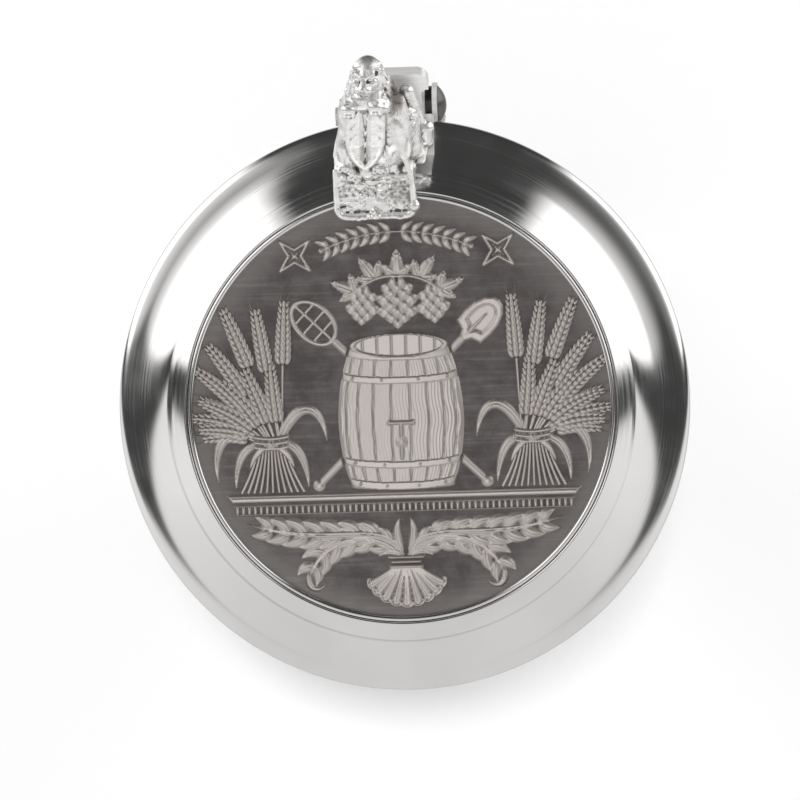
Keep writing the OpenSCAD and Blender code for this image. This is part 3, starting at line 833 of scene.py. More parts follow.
def barley_tree(material):
    """Grains and beards along each path."""
    tree, ins, outs = new_geometry("Barley ears", [
        ("Grain", "NodeSocketObject"), ("Beard", "NodeSocketObject"), ("Pitch", FLOAT), ("Spread", FLOAT)])
    paths = add(tree, "GeometryNodeMeshToCurve", {"Mesh": ins.outputs["Geometry"]})
    place = tree.nodes.new("GeometryNodeSplineParameter")
    kept = tree.nodes.new("GeometryNodeCaptureAttribute")
    kept.capture_items.new("FLOAT", "Factor")
    tree.links.new(paths.outputs[0], kept.inputs["Geometry"])
    tree.links.new(place.outputs["Factor"], kept.inputs["Factor"])
    stations = add(tree, "GeometryNodeCurveToPoints", {"Curve": kept.outputs["Geometry"],
                                                       "Length": ins.outputs["Pitch"]}, mode="LENGTH")
    along = stations.outputs["Tangent"]
    across = vector_maths(tree, "CROSS_PRODUCT", (0.0, 0.0, 1.0), along)
    factor = kept.outputs["Factor"]
    size = maths(tree, "SUBTRACT", 1.0, maths(tree, "MULTIPLY", maths(tree, "MULTIPLY", factor, factor), 0.4))
    join = tree.nodes.new("GeometryNodeJoinGeometry")
    shapes = {key: add(tree, "GeometryNodeObjectInfo", {"Object": ins.outputs[key]}).outputs["Geometry"]
              for key in ("Grain", "Beard")}
    for shape, side, splay, lift in (
            ("Beard", 1.0, 0.2, 0.0), ("Beard", -1.0, 0.2, 0.0),
            ("Grain", 1.0, 0.42, 0.0), ("Grain", -1.0, 0.42, 0.0), ("Grain", 0.0, 0.0, 0.22 * MM)):
        reach = maths(tree, "MULTIPLY", maths(tree, "MULTIPLY", ins.outputs["Spread"], size), side)
        move = vector_maths(tree, "ADD", vector_maths(tree, "SCALE", across, reach), (0.0, 0.0, lift))
        moved = add(tree, "GeometryNodeSetPosition", {"Geometry": stations.outputs["Points"], "Offset": move})
        point = vector_maths(tree, "ADD", along, vector_maths(tree, "SCALE", across, splay * side))
        turned = add(tree, "FunctionNodeAlignRotationToVector", {"Vector": point}, axis="Y", pivot_axis="Z")
        put = add(tree, "GeometryNodeInstanceOnPoints", {
            "Points": moved.outputs[0], "Instance": shapes[shape],
            "Rotation": turned.outputs[0], "Scale": size})
        tree.links.new(put.outputs[0], join.inputs[0])
    close_tree(tree, outs, join.outputs[0], material)
    return tree


def stalk_tree(material):
    """Round stalks along each path."""
    tree, ins, outs = new_geometry("Stalks", [("Radius", FLOAT)])
    paths = add(tree, "GeometryNodeMeshToCurve", {"Mesh": ins.outputs["Geometry"]})
    ring = add(tree, "GeometryNodeCurvePrimitiveCircle", {"Resolution": 8, "Radius": ins.outputs["Radius"]})
    tubes = add(tree, "GeometryNodeCurveToMesh", {"Curve": paths.outputs[0], "Profile Curve": ring.outputs[0],
                                                  "Fill Caps": True})
    close_tree(tree, outs, tubes.outputs[0], material)
    return tree


def row_tree(material):
    """Equal teeth in a straight row."""
    tree, ins, outs = new_geometry("Teeth", [("Tooth", "NodeSocketObject"), ("Count", "NodeSocketInt"),
                                             ("Pitch", FLOAT)])
    step = add(tree, "ShaderNodeCombineXYZ", {0: ins.outputs["Pitch"]})
    row = add(tree, "GeometryNodeMeshLine", {"Count": ins.outputs["Count"], "Offset": step.outputs[0]})
    start = ins.outputs["Geometry"]
    corner = add(tree, "GeometryNodeSampleIndex", {0: start, "Value": tree.nodes.new(
        "GeometryNodeInputPosition").outputs[0]}, data_type="FLOAT_VECTOR", domain="POINT")
    moved = add(tree, "GeometryNodeSetPosition", {"Geometry": row.outputs[0], "Offset": corner.outputs[0]})
    tooth = add(tree, "GeometryNodeObjectInfo", {"Object": ins.outputs["Tooth"]})
    put = add(tree, "GeometryNodeInstanceOnPoints", {"Points": moved.outputs[0],
                                                     "Instance": tooth.outputs["Geometry"]})
    close_tree(tree, outs, put.outputs[0], material)
    return tree


def grow(name, paths, tree, **values):
    """Mesh that a geometry tree makes from some paths, given in metres."""
    verts, edges = [], []
    for path in paths:
        edges += [(len(verts) + k, len(verts) + k + 1) for k in range(len(path) - 1)]
        verts += [tuple(p) for p in path]
    carrier_mesh = bpy.data.meshes.new(name + "_paths")
    carrier_mesh.from_pydata(verts, edges, [])
    carrier = bpy.data.objects.new(name + "_paths", carrier_mesh)
    bpy.context.scene.collection.objects.link(carrier)
    modifier = carrier.modifiers.new(name, "NODES")
    modifier.node_group = tree
    for item in tree.interface.items_tree:
        if item.in_out == "INPUT" and item.name in values:
            modifier[item.identifier] = values[item.name]
    carrier.update_tag()
    view = bpy.context.evaluated_depsgraph_get()
    mesh = bpy.data.meshes.new_from_object(carrier.evaluated_get(view))
    mesh.name = name
    carrier.modifiers.remove(modifier)
    bpy.data.objects.remove(carrier)
    return mesh


def helper_object(name, verts, faces):
    """Small shape for a geometry tree to repeat, in millimetres."""
    mesh = bpy.data.meshes.new(name)
    mesh.from_pydata([Vector(v) * MM for v in verts], [], faces)
    finish_mesh(mesh, 60.0)
    helper = bpy.data.objects.new(name, mesh)
    bpy.context.scene.collection.objects.link(helper)
    return helper


def drop_shape(length, half, thick, rings=5, sides=8, blunt=0.8):
    """Closed drop along +Y from the origin, pointed at its far end."""
    verts, faces = [(0, 0, 0)], []
    for k in range(1, rings):
        t = k / rings
        r = math.sin(math.pi * t ** blunt) ** 0.8
        for i in range(sides):
            a = 2 * math.pi * i / sides
            verts.append((half * r * math.cos(a), length * t, thick * r * math.sin(a)))
    verts.append((0, length, 0))
    last = len(verts) - 1
    for i in range(sides):
        j = (i + 1) % sides
        faces.append((0, 1 + i, 1 + j))
        for k in range(rings - 2):
            a, b = 1 + k * sides, 1 + (k + 1) * sides
            faces.append((a + i, b + i, b + j, a + j))
        a = 1 + (rings - 2) * sides
        faces.append((last, a + j, a + i))
    return verts, faces


# Motifs of the relief, in millimetres from the middle of the disc


def scroll_work():
    """Feathered scroll under the ledge, with a fluted shell."""
    work = Relief(-26.4, 26.4, -32.8, -16.6)
    upper = curve((0.8, -23.3), (2.6, -17.0), (12.5, -22.4), (25.6, -17.7), n=26)
    lower = curve((0.6, -23.9), (4.6, -18.9), (13.4, -19.6), (15.9, -27.4), n=24)
    frond(work, lower, 6, 4.3, 1.05, 0.5, lean=33, span=(0.16, 0.86), stem=0.5)
    frond(work, upper, 7, 4.5, 1.1, 0.56, lean=27, span=(0.2, 0.84), stem=0.55)
    curl = curve((15.6, -26.0), (16.3, -28.9), (13.6, -29.0), (13.0, -27.6), n=12)
    work.leaf(curl, 0.62, 0.56, rib=0.0, belly=0.6)
    work.leaf(curve((0.5, -22.8), (2.0, -20.2), (0.9, -17.5)), 0.75, 0.5)
    work.leaf(curve((0.3, -23.4), (3.2, -22.2), (4.4, -23.6)), 0.7, 0.45)
    for k in range(5):
        a = math.radians(14.6 * k)
        tip = np.array([0.45 * k, -25.6]) + 5.35 * np.array([math.sin(a), -math.cos(a)]) * (1 - 0.012 * k * k)
        root = np.array([0.46 * k, -25.3])
        flute = curve(root, root + (tip - root) * 0.5 + (0, -0.35), tip, n=8)
        work.stroke(flute, 0.3, 0.52, taper=-1.75, crisp=3.4)
        work.groove(flute, 0.16, 0.12)
        out = (tip - root) / np.hypot(*(tip - root))
        across = np.array([-out[1], out[0]]) * 0.98
        lip = [tip + across * math.cos(t) + out * 0.78 * math.sin(t) for t in np.linspace(0, math.pi, 12)]
        work.stroke(lip, 0.26, 0.6)
    for y, half in ((-23.75, 2.75), (-24.5, 2.25), (-25.25, 2.55)):
        work.stroke([(0, y), (half, y)], 0.29, 0.6)
    work.mirror()
    return work


def ledge_work():
    """Moulded ledge that the sheaves and the cask stand on."""
    work = Relief(-29.0, 29.0, -16.8, -12.8)
    work.plate([(-28.4, -13.2), (28.4, -13.2), (27.5, -14.6), (-27.5, -14.6)], 0.52, 0.5)
    work.groove([(-28.0, -13.62), (28.0, -13.62)], 0.12, 0.14)
    for y in (-15.02, -16.34):
        work.stroke([(-27.0, y), (27.0, y)], 0.19, 0.44)
    return work


def cask_work():
    """Upright cask with staves, hoops, rivets and a tap, before a crossed malt shovel and mash fork."""
    work = Relief(-17.4, 17.4, -13.4, 20.4)
    tools(work)
    mid, half, end, bulge = -1.7, 11.4, 7.9, 2.1
    x, y = work.x, work.y

    def wide_at(level):
        """Half the cask's width at a height."""
        return end + bulge * (1 - np.clip((level - mid) / half, -1.1, 1.1) ** 2)

    u = x / wide_at(y)
    bow = np.sqrt(np.clip(1 - u * u, 0, 1))
    body = 0.2 + 0.44 * bow
    for k in range(-5, 5):
        body -= 0.17 * np.exp(-((u - math.sin(math.radians(17.5 * k + 8.75))) * wide_at(y) / 0.12) ** 2)
    body -= 0.02 * np.sin(2 * np.pi * (u * 19 + 0.35 * np.sin(y * 0.9)))
    sag = y + 1.2 * bow
    hoops = ((-11.2, 1.0), (-7.8, 0.85), (5.6, 0.85), (9.4, 1.0))
    for level, tall in hoops:
        band = 1.0 - (np.abs(sag - level) / (tall * 0.62)) ** 6
        body = np.where(band > 0, np.maximum(body, (0.34 + 0.46 * bow) * np.minimum(band * 2.5, 1)), body)
    foot = -13.15 + 0.7 * (1 - bow)
    depth = np.minimum(np.minimum((1 - np.abs(u)) * wide_at(y), y - foot), 10.6 - y)
    solid = np.where(depth > 0, body * np.clip(depth / 0.25, 0, 1) ** 0.5, depth * FALL)
    work.h = np.where(depth > -0.25, solid, work.h)
    head = np.hypot(x / 7.95, (y - 10.0) / 1.95)
    board = 2.3
    off = x - board * np.round(x / board)
    plank = 0.36 - 0.14 * np.exp(-((off - board / 2 * np.sign(off)) / 0.12) ** 2)
    rim = 0.74 * (1 - np.clip(np.abs(head - 0.93) / 0.085, 0, 1) ** 3)
    top = np.where(head < 0.9, np.maximum(plank, rim), np.maximum(rim, 0.1))
    edge = (1.0 - head) * 3.0
    work.h = np.where(head < 1.0, np.where(edge > 0.06, top, np.maximum(work.h, edge)), work.h)
    for level, _ in hoops[:3]:
        for deg in (-54, -18, 18, 54):
            at = level - 1.2 * math.cos(math.radians(deg))
            work.dome(math.sin(math.radians(deg)) * float(wide_at(at)), at, 0.3, 0.98)
    work.dome(0, -5.4, 1.3, 0.98)
    work.stroke([(0, -5.0), (0, -2.4)], 0.46, 1.0)
    work.stroke([(-1.8, -2.3), (1.8, -2.3)], 0.46, 1.02)
    for sign in (1, -1):
        work.dome(1.8 * sign, -2.3, 0.6, 1.05)
    work.stroke([(0, -5.4), (0, -7.9)], 0.56, 1.0, taper=0.25)
    return work


def tools(work):
    """Crossed malt shovel and mash fork."""
    for sign in (1, -1):
        foot, neck = np.array([-13.4 * sign, -12.0]), np.array([10.4 * sign, 11.0])
        work.stroke([foot, neck], 0.66, 0.5, crisp=2.0)
        work.dome(*foot, 1.05, 0.55)
        deg = math.degrees(math.atan2(*(neck - foot)[::-1])) - 90
        if sign > 0:
            half = [(0.0, -0.6), (0.55, -0.6), (1.2, 0.5), (2.75, 1.0), (2.95, 3.2), (2.8, 5.2), (2.1, 7.0),
                    (1.1, 8.0)]
            blade = np.array(half + [(0.0, 8.3)] + [(-px, py) for px, py in half[:0:-1]])
            work.plate(turn(blade, deg, neck), 0.58, 0.55)
            dish = turn(blade * (0.68, 0.66) + (0, 1.5), deg, neck)
            cut = work.part(dish, 0.4)
            x, y = work.x[cut], work.y[cut]
            side, _ = nearest(x, y, np.vstack([dish, dish[:1]]))
            work.h[cut] -= np.where(inside(x, y, dish), np.clip(np.abs(side) / 0.5, 0, 1) * 0.26, 0)
            work.stroke(turn([(0, 0.2), (0, 5.0)], deg, neck), 0.4, 0.62, taper=0.7, base=0.25)
        else:
            ring = [(2.7 * math.sin(a), 4.2 - 4.1 * math.cos(a)) for a in np.linspace(0, 2 * math.pi, 41)]
            work.stroke(turn(ring, deg, neck), 0.5, 0.6)
            for y in (2.2, 4.2, 6.2):
                w = 2.6 * math.sqrt(1 - ((y - 4.2) / 4.1) ** 2)
                work.stroke(turn([(-w, y), (w, y)], deg, neck), 0.3, 0.5)
            work.stroke(turn([(0, 0), (0, 8.2)], deg, neck), 0.34, 0.56)


def hop_cone(work, stem, tip, width, rows, top):
    """Hop cone: rows of overlapping bracts from its tip back to its stem."""
    stem, tip = np.array(stem, float), np.array(tip, float)
    length = np.hypot(*(tip - stem))
    way = (tip - stem) / length
    across = np.array([-way[1], way[0]])
    for row in range(rows - 1, -1, -1):
        v = row / rows
        wide = width * math.sin(math.pi * (0.17 + 0.7 * v)) ** 0.8
        count = 3 if row % 2 else 2
        if row == rows - 1:
            count = 1
        for k in range(count):
            u = (k - (count - 1) / 2) * (0.66 if count == 3 else 0.7)
            start = stem + way * length * (v * 0.92) + across * wide * u * 0.75
            end = stem + way * length * min(v * 0.92 + 1.75 / rows, 1.02) + across * wide * u * 1.25
            crown = top * (0.72 + 0.28 * math.cos(u * 2.0)) + 0.05 * (1 - v)
            bract = curve(start, (start + end) / 2 + across * wide * u * 0.25, end, n=8)
            work.leaf(bract, wide * 0.47, crown, rib=0.05, belly=1.15, lift=0.6, rib_half=0.08)


def hop_leaf(work, base, deg, size, top):
    """Leaf of three toothed lobes."""
    base = np.array(base)
    for bend, share in ((-1, 0.72), (1, 0.72), (0, 1.0)):
        a = math.radians(deg + 52 * bend)
        way = np.array([math.cos(a), math.sin(a)])
        across = np.array([-way[1], way[0]])
        end = base + way * size * share
        mid = base + way * size * share * 0.5 + across * 0.06 * size * bend
        work.leaf(curve(base, mid, end, n=10), size * 0.24 * share ** 0.5, top, rib=0.16, belly=0.72)
        for t in (0.3, 0.5, 0.7):
            at = base + (end - base) * t
            reach = size * 0.2 * share * math.sin(math.pi * t ** 0.72)
            for side in (1, -1):
                vein = at + way * size * 0.16 * share + across * side * reach
                tooth = curve(at, (at + vein) / 2 + way * 0.05, vein, n=5)
                work.leaf(tooth, size * 0.085, top * 0.95, rib=0.07, belly=0.7, rib_half=0.07)


def hop_work():
    """Hop cluster over the cask."""
    work = Relief(-11.4, 11.4, 11.6, 25.6)
    for x, y, deg, size in ((3.6, 20.6, 54, 4.3), (6.8, 18.7, 22, 4.2), (0, 21.0, 90, 4.2)):
        hop_leaf(work, (x, y), deg, size, 0.48)
    work.stroke(curve((0, 20.9), (3.4, 21.4), (6.9, 18.6), n=12), 0.34, 0.54)
    hop_cone(work, (5.4, 19.8), (5.9, 13.3), 2.3, 6, 0.6)
    work.mirror()
    hop_cone(work, (0, 20.9), (0, 12.6), 2.9, 8, 0.72)
    return work


def star_work():
    """Two four-point stars and the garland between them."""
    work = Relief(-21.0, 21.0, 20.6, 31.4)
    point, notch, middle = 3.3, 0.98, (16.2, 24.6)
    loop = []
    for k in range(8):
        a, r = math.pi * k / 4, notch if k % 2 else point
        loop.append((r * math.cos(a), r * math.sin(a)))
    star = turn(loop, 45, middle)
    work.stroke(np.vstack([star, star[:1]]), 0.3, 0.5)
    work.plate(turn(loop, 45, middle, 0.42), 0.45, 0.3)
    arc_r = 28.0
    stem = [(arc_r * math.sin(a), arc_r * math.cos(a)) for a in np.radians(np.linspace(0, 24.5, 30))]
    work.stroke(stem, 0.2, 0.42)
    for k in range(7):
        a = math.radians(2.2 + 3.4 * k)
        out = np.array([math.sin(a), math.cos(a)])
        way = np.array([math.cos(a), -math.sin(a)])
        for side in (1, -1):
            start = out * arc_r
            end = start + way * 1.75 + out * side * 1.65
            path = curve(start, start + way * 0.5 + out * side * 1.15, end, n=7)
            work.leaf(path, 0.6, 0.47, rib=0.09, belly=0.8, rib_half=0.08)
    work.dome(stem[-1][0] + 0.35, stem[-1][1] - 0.16, 0.5, 0.5)
    work.mirror()
    return work


TIE = np.array([20.8, -5.0])


def sheaf_lines(side):
    """Stalks and ears of one barley sheaf as paths, for the right side or, with -1, the left."""
    stalks, ears = [], []
    border, longest, ear = 31.6, 21.6, 8.8
    for row, angles in enumerate((range(-9, 76, 12), range(-3, 72, 18))):
        for k, deg in enumerate(angles):
            a = math.radians(deg)
            d = np.array([math.sin(a), math.cos(a)])
            reach = math.sqrt((TIE @ d) ** 2 - TIE @ TIE + border ** 2) - TIE @ d
            reach = min(reach, longest) - (1.3 if k % 2 else 0.0)
            first = reach - ear
            if row:
                first, reach = 3.2, min(11.4, reach - 1.0)
            nod = np.array([d[1], -d[0]]) * (0.03 + 0.09 * max(deg, 0) / 60) * reach
            start = TIE + np.array([(deg - 30) * 0.045, 0.0])
            full = curve(start, TIE + d * reach * 0.5 - nod * 0.5, TIE + d * reach + nod, n=40)
            cut = int(40 * max(first, 2.5) / reach)
            stalks.append(full[:cut + 2])
            ears.append((row, full[cut:]))
    for k in range(11):
        x = TIE[0] + (k - 5) * 0.4
        stalks.append(curve((x, TIE[1]), (x + (k - 5) * 0.12, -8.6), (TIE[0] + (k - 5) * 1.0, -12.9), n=8))
    flip = np.array([side, 1])
    return [p * flip for p in stalks], [(row, p * flip) for row, p in ears]


def sheaf_work():
    """Ties and long leaves of the two sheaves."""
    work = Relief(-32.4, 32.4, -13.2, 6.6)
    for path, width in ((curve((21.6, -5.0), (26.6, -1.0), (31.0, -4.0), (29.4, -11.4)), 1.0),
                        (curve((21.2, -5.2), (25.0, -4.4), (27.0, -8.0), (26.6, -12.7)), 0.8),
                        (curve((19.8, -5.0), (16.6, 2.4), (12.6, 1.6), (11.9, -5.0)), 0.95),
                        (curve((20.2, -5.4), (17.2, -4.2), (15.2, -7.4), (15.0, -12.6)), 0.8)):
        work.leaf(path, width, 0.5, rib=0.18, belly=0.6)
    for k in range(3):
        y = -5.75 + 0.8 * k
        work.stroke(curve((18.2, y + 0.15), (TIE[0], y - 0.45), (23.4, y + 0.15), n=10), 0.45, 0.8)
    for sign in (1, -1):
        knot = curve((20.8, -5.2), (20.8 + 2.8 * sign, -6.2), (20.8 + 3.6 * sign, -9.2), n=10)
        work.leaf(knot, 0.62, 0.8, rib=0.12, belly=0.8)
    work.dome(20.8, -5.3, 0.85, 1.0)
    work.mirror()
    return work


# Cast thumb lift, in its own millimetres: x across, t up the lever's tongue and d off it


class Sculpture:
    """Solid shape kept as signed distances on a grid; it leans to one side and is pressed down a little."""
    FOOT, LEAN, PRESS = -5, 0.018, 0.96

    def __init__(self, low, high, step):
        self.step = step
        self.axes = [np.arange(a, b + step, step) for a, b in zip(low, high)]
        self.f = np.full([len(axis) for axis in self.axes], 1.5)

    def part(self, low, high):
        """Slices of the grid between two corners of the upright shape, and its upright coordinates there."""
        low, high = ([p[0] - self.LEAN * (p[1] - self.FOOT), self.PRESS * (p[1] - self.FOOT) + self.FOOT,
                      p[2]] for p in (low, high))
        cut = tuple(slice(*np.searchsorted(axis, (a, b))) for axis, a, b in zip(self.axes, low, high))
        x, t, d = np.meshgrid(*(axis[c] for axis, c in zip(self.axes, cut)), indexing="ij", sparse=True)
        t = (t - self.FOOT) / self.PRESS + self.FOOT
        return cut, (x + self.LEAN * (t - self.FOOT), t, d)

    def put(self, cut, dist, soft, carve=False):
        """Adds a shape, or carves it away; soft is the width of the fillet."""
        sign = -1 if carve else 1
        here = sign * self.f[cut]
        fillet = np.maximum(soft - np.abs(here - dist), 0) ** 2 / (4 * soft)
        self.f[cut] = sign * (np.minimum(here, dist) - fillet)

    def limb(self, a, ra, b, rb, soft=0.5, carve=False):
        """Tapered limb between two points."""
        a, b = np.array(a, float), np.array(b, float)
        reach = max(ra, rb) + 1.6
        cut, p = self.part(np.minimum(a, b) - reach, np.maximum(a, b) + reach)
        way = b - a
        s = np.clip(sum((p[k] - a[k]) * way[k] for k in range(3)) / max(way @ way, 1e-9), 0, 1)
        dist = np.sqrt(sum((p[k] - a[k] - s * way[k]) ** 2 for k in range(3))) - (ra + (rb - ra) * s)
        self.put(cut, dist, soft, carve)

    def lump(self, centre, radii, soft=0.5, carve=False, lean=0.0):
        """Ellipsoid; lean turns it in its front view."""
        centre, radii = np.array(centre, float), np.array(radii, float)
        reach = radii.max() + 1.6
        cut, p = self.part(centre - reach, centre + reach)
        x, t, d = (p[k] - centre[k] for k in range(3))
        a = math.radians(lean)
        q = (x * math.cos(a) + t * math.sin(a), t * math.cos(a) - x * math.sin(a), d)
        near = np.sqrt(sum((q[k] / radii[k]) ** 2 for k in range(3)))
        slope = np.sqrt(sum((q[k] / radii[k] ** 2) ** 2 for k in range(3)))
        self.put(cut, near * (near - 1) / np.maximum(slope, 1e-6), soft, carve)

    def rock(self, centre, size, rng, soft=0.12):
        """Stone with flat faces."""
        centre = np.array(centre, float)
        cut, p = self.part(centre - size - 1.6, centre + size + 1.6)
        dist = np.sqrt(sum((p[k] - centre[k]) ** 2 for k in range(3))) - size
        for _ in range(11):
            way = rng.normal(size=3)
            way /= np.linalg.norm(way)
            side = sum((p[k] - centre[k]) * way[k] for k in range(3)) - size * rng.uniform(0.6, 0.9)
            np.maximum(dist, side, out=dist)
        self.put(cut, dist, soft)

    def openness(self, reach):
        """How far the shape lies from each grid point, on average: above 0 on ridges, below 0 in hollows."""
        return blur(np.clip(self.f, -reach, reach), max(int(round(reach / self.step)), 1))

    def mesh(self):
        """Points and outward faces of the shape's skin, one point in each grid cell that the skin crosses."""
        f = self.f
        cells = np.array(f.shape) - 1
        total, hits = np.zeros((3, *cells)), np.zeros(cells)
        crossings = []
        for axis in range(3):
            b, c = [k for k in range(3) if k != axis]
            first, second = (f.take(range(k, cells[axis] + k), axis) for k in (0, 1))
            cross = (first < 0) != (second < 0)
            crossings.append((cross, first < 0))
            share = np.where(cross, first / np.where(cross, first - second, 1.0), 0.0)
            for ob in (0, 1):
                for oc in (0, 1):
                    cut = [slice(None)] * 3
                    cut[b], cut[c] = slice(ob, ob + cells[b]), slice(oc, oc + cells[c])
                    hit = cross[tuple(cut)]
                    hits += hit
                    total[axis] += share[tuple(cut)]
                    total[b] += hit * ob
                    total[c] += hit * oc
        used = hits > 0
        ids = np.full(cells, -1)
        ids[used] = np.arange(used.sum())
        low = [axis[0] for axis in self.axes]
        places = np.nonzero(used)
        verts = np.stack([low[k] + self.step * (places[k] + total[k][used] / hits[used])
                          for k in range(3)], axis=1)
        faces = []
        for axis, (cross, starts_in) in enumerate(crossings):
            b, c = [k for k in range(3) if k != axis]
            cross = cross.copy()
            for k in (b, c):
                edge = [slice(None)] * 3
                for edge[k] in (0, -1):
                    cross[tuple(edge)] = False
            at = list(np.nonzero(cross))
            ring = []
            for ob, oc in ((1, 1), (0, 1), (0, 0), (1, 0)):
                place = list(at)
                place[b], place[c] = at[b] - ob, at[c] - oc
                ring.append(ids[tuple(place)])
            quad = np.stack(ring, axis=1)
            flip = starts_in[tuple(at)] == (axis == 1)
            faces.append(np.where(flip[:, None], quad[:, ::-1], quad))
        return verts, np.vstack(faces)


def lion_body(work):
    """Seated body, haunches, legs and tail."""
    work.limb((0.7, 3.5, 14.2), 4.3, (-0.2, 13.0, 14.6), 3.3)
    work.limb((-0.2, 12.5, 14.8), 3.3, (0.0, 18.0, 14.6), 2.4, 1.0)
    work.limb((-4.6, 2.6, 14.8), 2.3, (-3.0, 12.6, 14.9), 1.5, 0.8)
    work.lump((-4.2, 4.2, 15.6), (2.1, 3.4, 2.6), 0.7, lean=-10)
    work.lump((-4.0, 10.4, 14.2), (1.5, 2.7, 2.2), 0.7)
    work.lump((2.9, 6.4, 15.0), (2.5, 5.8, 3.1), 0.5, lean=6)
    work.limb((3.4, 12.6, 14.6), 1.7, (3.9, 7.0, 14.0), 2.0, 0.6)
    work.limb((5.2, 2.0, 13.0), 1.9, (5.0, 9.0, 12.6), 1.8, 0.4)
    for a, ra, b, rb in (((6.3, -0.4, 12.9), 0.85, (6.8, 1.6, 12.6), 0.8),
                         ((7.4, 3.2, 12.3), 1.3, (7.6, 5.4, 12.2), 1.25),
                         ((6.9, 6.2, 12.1), 0.8, (6.1, 10.2, 12.2), 0.8),
                         ((6.0, 10.4, 12.3), 0.85, (5.2, 13.0, 12.4), 1.15)):
        work.limb(a, ra, b, rb, 0.3)
    rng = np.random.default_rng(5)
    for _ in range(26):
        x, t = rng.uniform(4.6, 5.9), rng.uniform(4.6, 9.6)
        work.lump((x, t, 14.3 + rng.uniform(-0.2, 0.2)), (0.34, 0.48, 0.5), 0.08)
    for x, t, d in ((-4.9, 2.7, 17.2), (0.5, 2.5, 17.6)):
        work.lump((x, t, d), (1.45, 0.95, 1.5), 0.35)
        for k in (-1, 0, 1):
            work.limb((x + 0.85 * k, t - 0.15, d + 0.7), 0.45, (x + 0.9 * k, t - 0.3, d + 1.3), 0.42, 0.12)
    for x, way in ((-3.1, -0.2), (2.3, -0.5)):
        work.limb((x * 1.02, 13.2, 15.2), 1.7, (x + way, 14.3, 18.0), 1.05, 0.4)


def lion_mane(work):
    """Locks in rows round the head, neck and chest."""
    work.lump((-0.3, 14.9, 16.2), (3.0, 2.3, 2.3), 0.6)
    rng = np.random.default_rng(7)
    levels, girths = zip((11.5, 3.3), (13.0, 3.7), (14.5, 3.75), (16.4, 3.1), (18.0, 2.3), (20.0, 1.9),
                         (21.2, 1.2))
    lock = 1.8
    for row, t in enumerate(np.arange(20.4, 13.4, -1.1)):
        around, under = np.interp((t, t - lock), levels, girths)
        count = max(int(around * 5.6), 8)
        for k in range(count):
            aim = 2 * math.pi * (k + 0.5 * (row % 2)) / count + rng.uniform(-0.12, 0.12)
            front = math.cos(aim) > 0.62 if t > 16.4 else math.cos(aim) > -0.1 and math.sin(aim) < 0.5
            if math.cos(aim) < -0.35 or front:
                continue
            small = 0.4 if math.sin(aim) > 0.55 else 0.56
            tip = t - lock + rng.uniform(-0.25, 0.25)
            ends = [(r * math.sin(aim + swing), level, 14.6 + 0.92 * r * math.cos(aim + swing))
                    for r, level, swing in ((around, t, 0.0), (under + 0.22, tip, 0.12))]
            work.limb(ends[0], small, ends[1], 0.2, 0.12)


def lion_head(work):
    """Head turned a little to its right: brow, eyes, nose, muzzle and ears."""
    def at(x, t, d):
        """Place on the head, which is narrow and turned."""
        return (0.86 * x - 0.24 * (d - 14.6), t, d)

    work.lump(at(0, 19.0, 14.9), (2.2, 2.75, 2.4), 0.5)
    work.lump(at(0, 18.2, 16.6), (1.5, 1.6, 1.5), 0.5)
    work.limb(at(0, 20.2, 16.6), 0.75, at(0, 18.5, 18.2), 0.62, 0.3)
    work.lump(at(0, 17.2, 17.2), (1.0, 0.8, 0.9), 0.25)
    for side in (-1, 1):
        work.lump(at(0.62 * side, 17.95, 18.0), (0.78, 0.66, 0.7), 0.15)
        work.lump(at(1.45 * side, 18.4, 16.9), (0.75, 0.9, 0.7), 0.3)
        work.lump(at(1.0 * side, 19.25, 17.5), (0.55, 0.42, 0.6), 0.1, carve=True)
        work.lump(at(0.98 * side, 19.25, 17.15), (0.34, 0.3, 0.3), 0.06)
        work.limb(at(0.4 * side, 19.9, 17.4), 0.36, at(1.55 * side, 20.1, 16.7), 0.34, 0.2)
        work.lump(at(2.0 * side, 19.9, 15.9), (0.7, 0.8, 0.5), 0.2)
        work.lump(at(2.0 * side, 19.9, 16.45), (0.38, 0.46, 0.36), 0.1, carve=True)
    work.lump(at(0, 18.45, 18.65), (0.6, 0.36, 0.36), 0.1)
    work.limb(at(-0.9, 17.4, 18.3), 0.13, at(0.9, 17.4, 18.3), 0.13, 0.1, carve=True)
    work.limb(at(0, 18.2, 19.0), 0.1, at(0, 17.5, 18.9), 0.1, 0.1, carve=True)


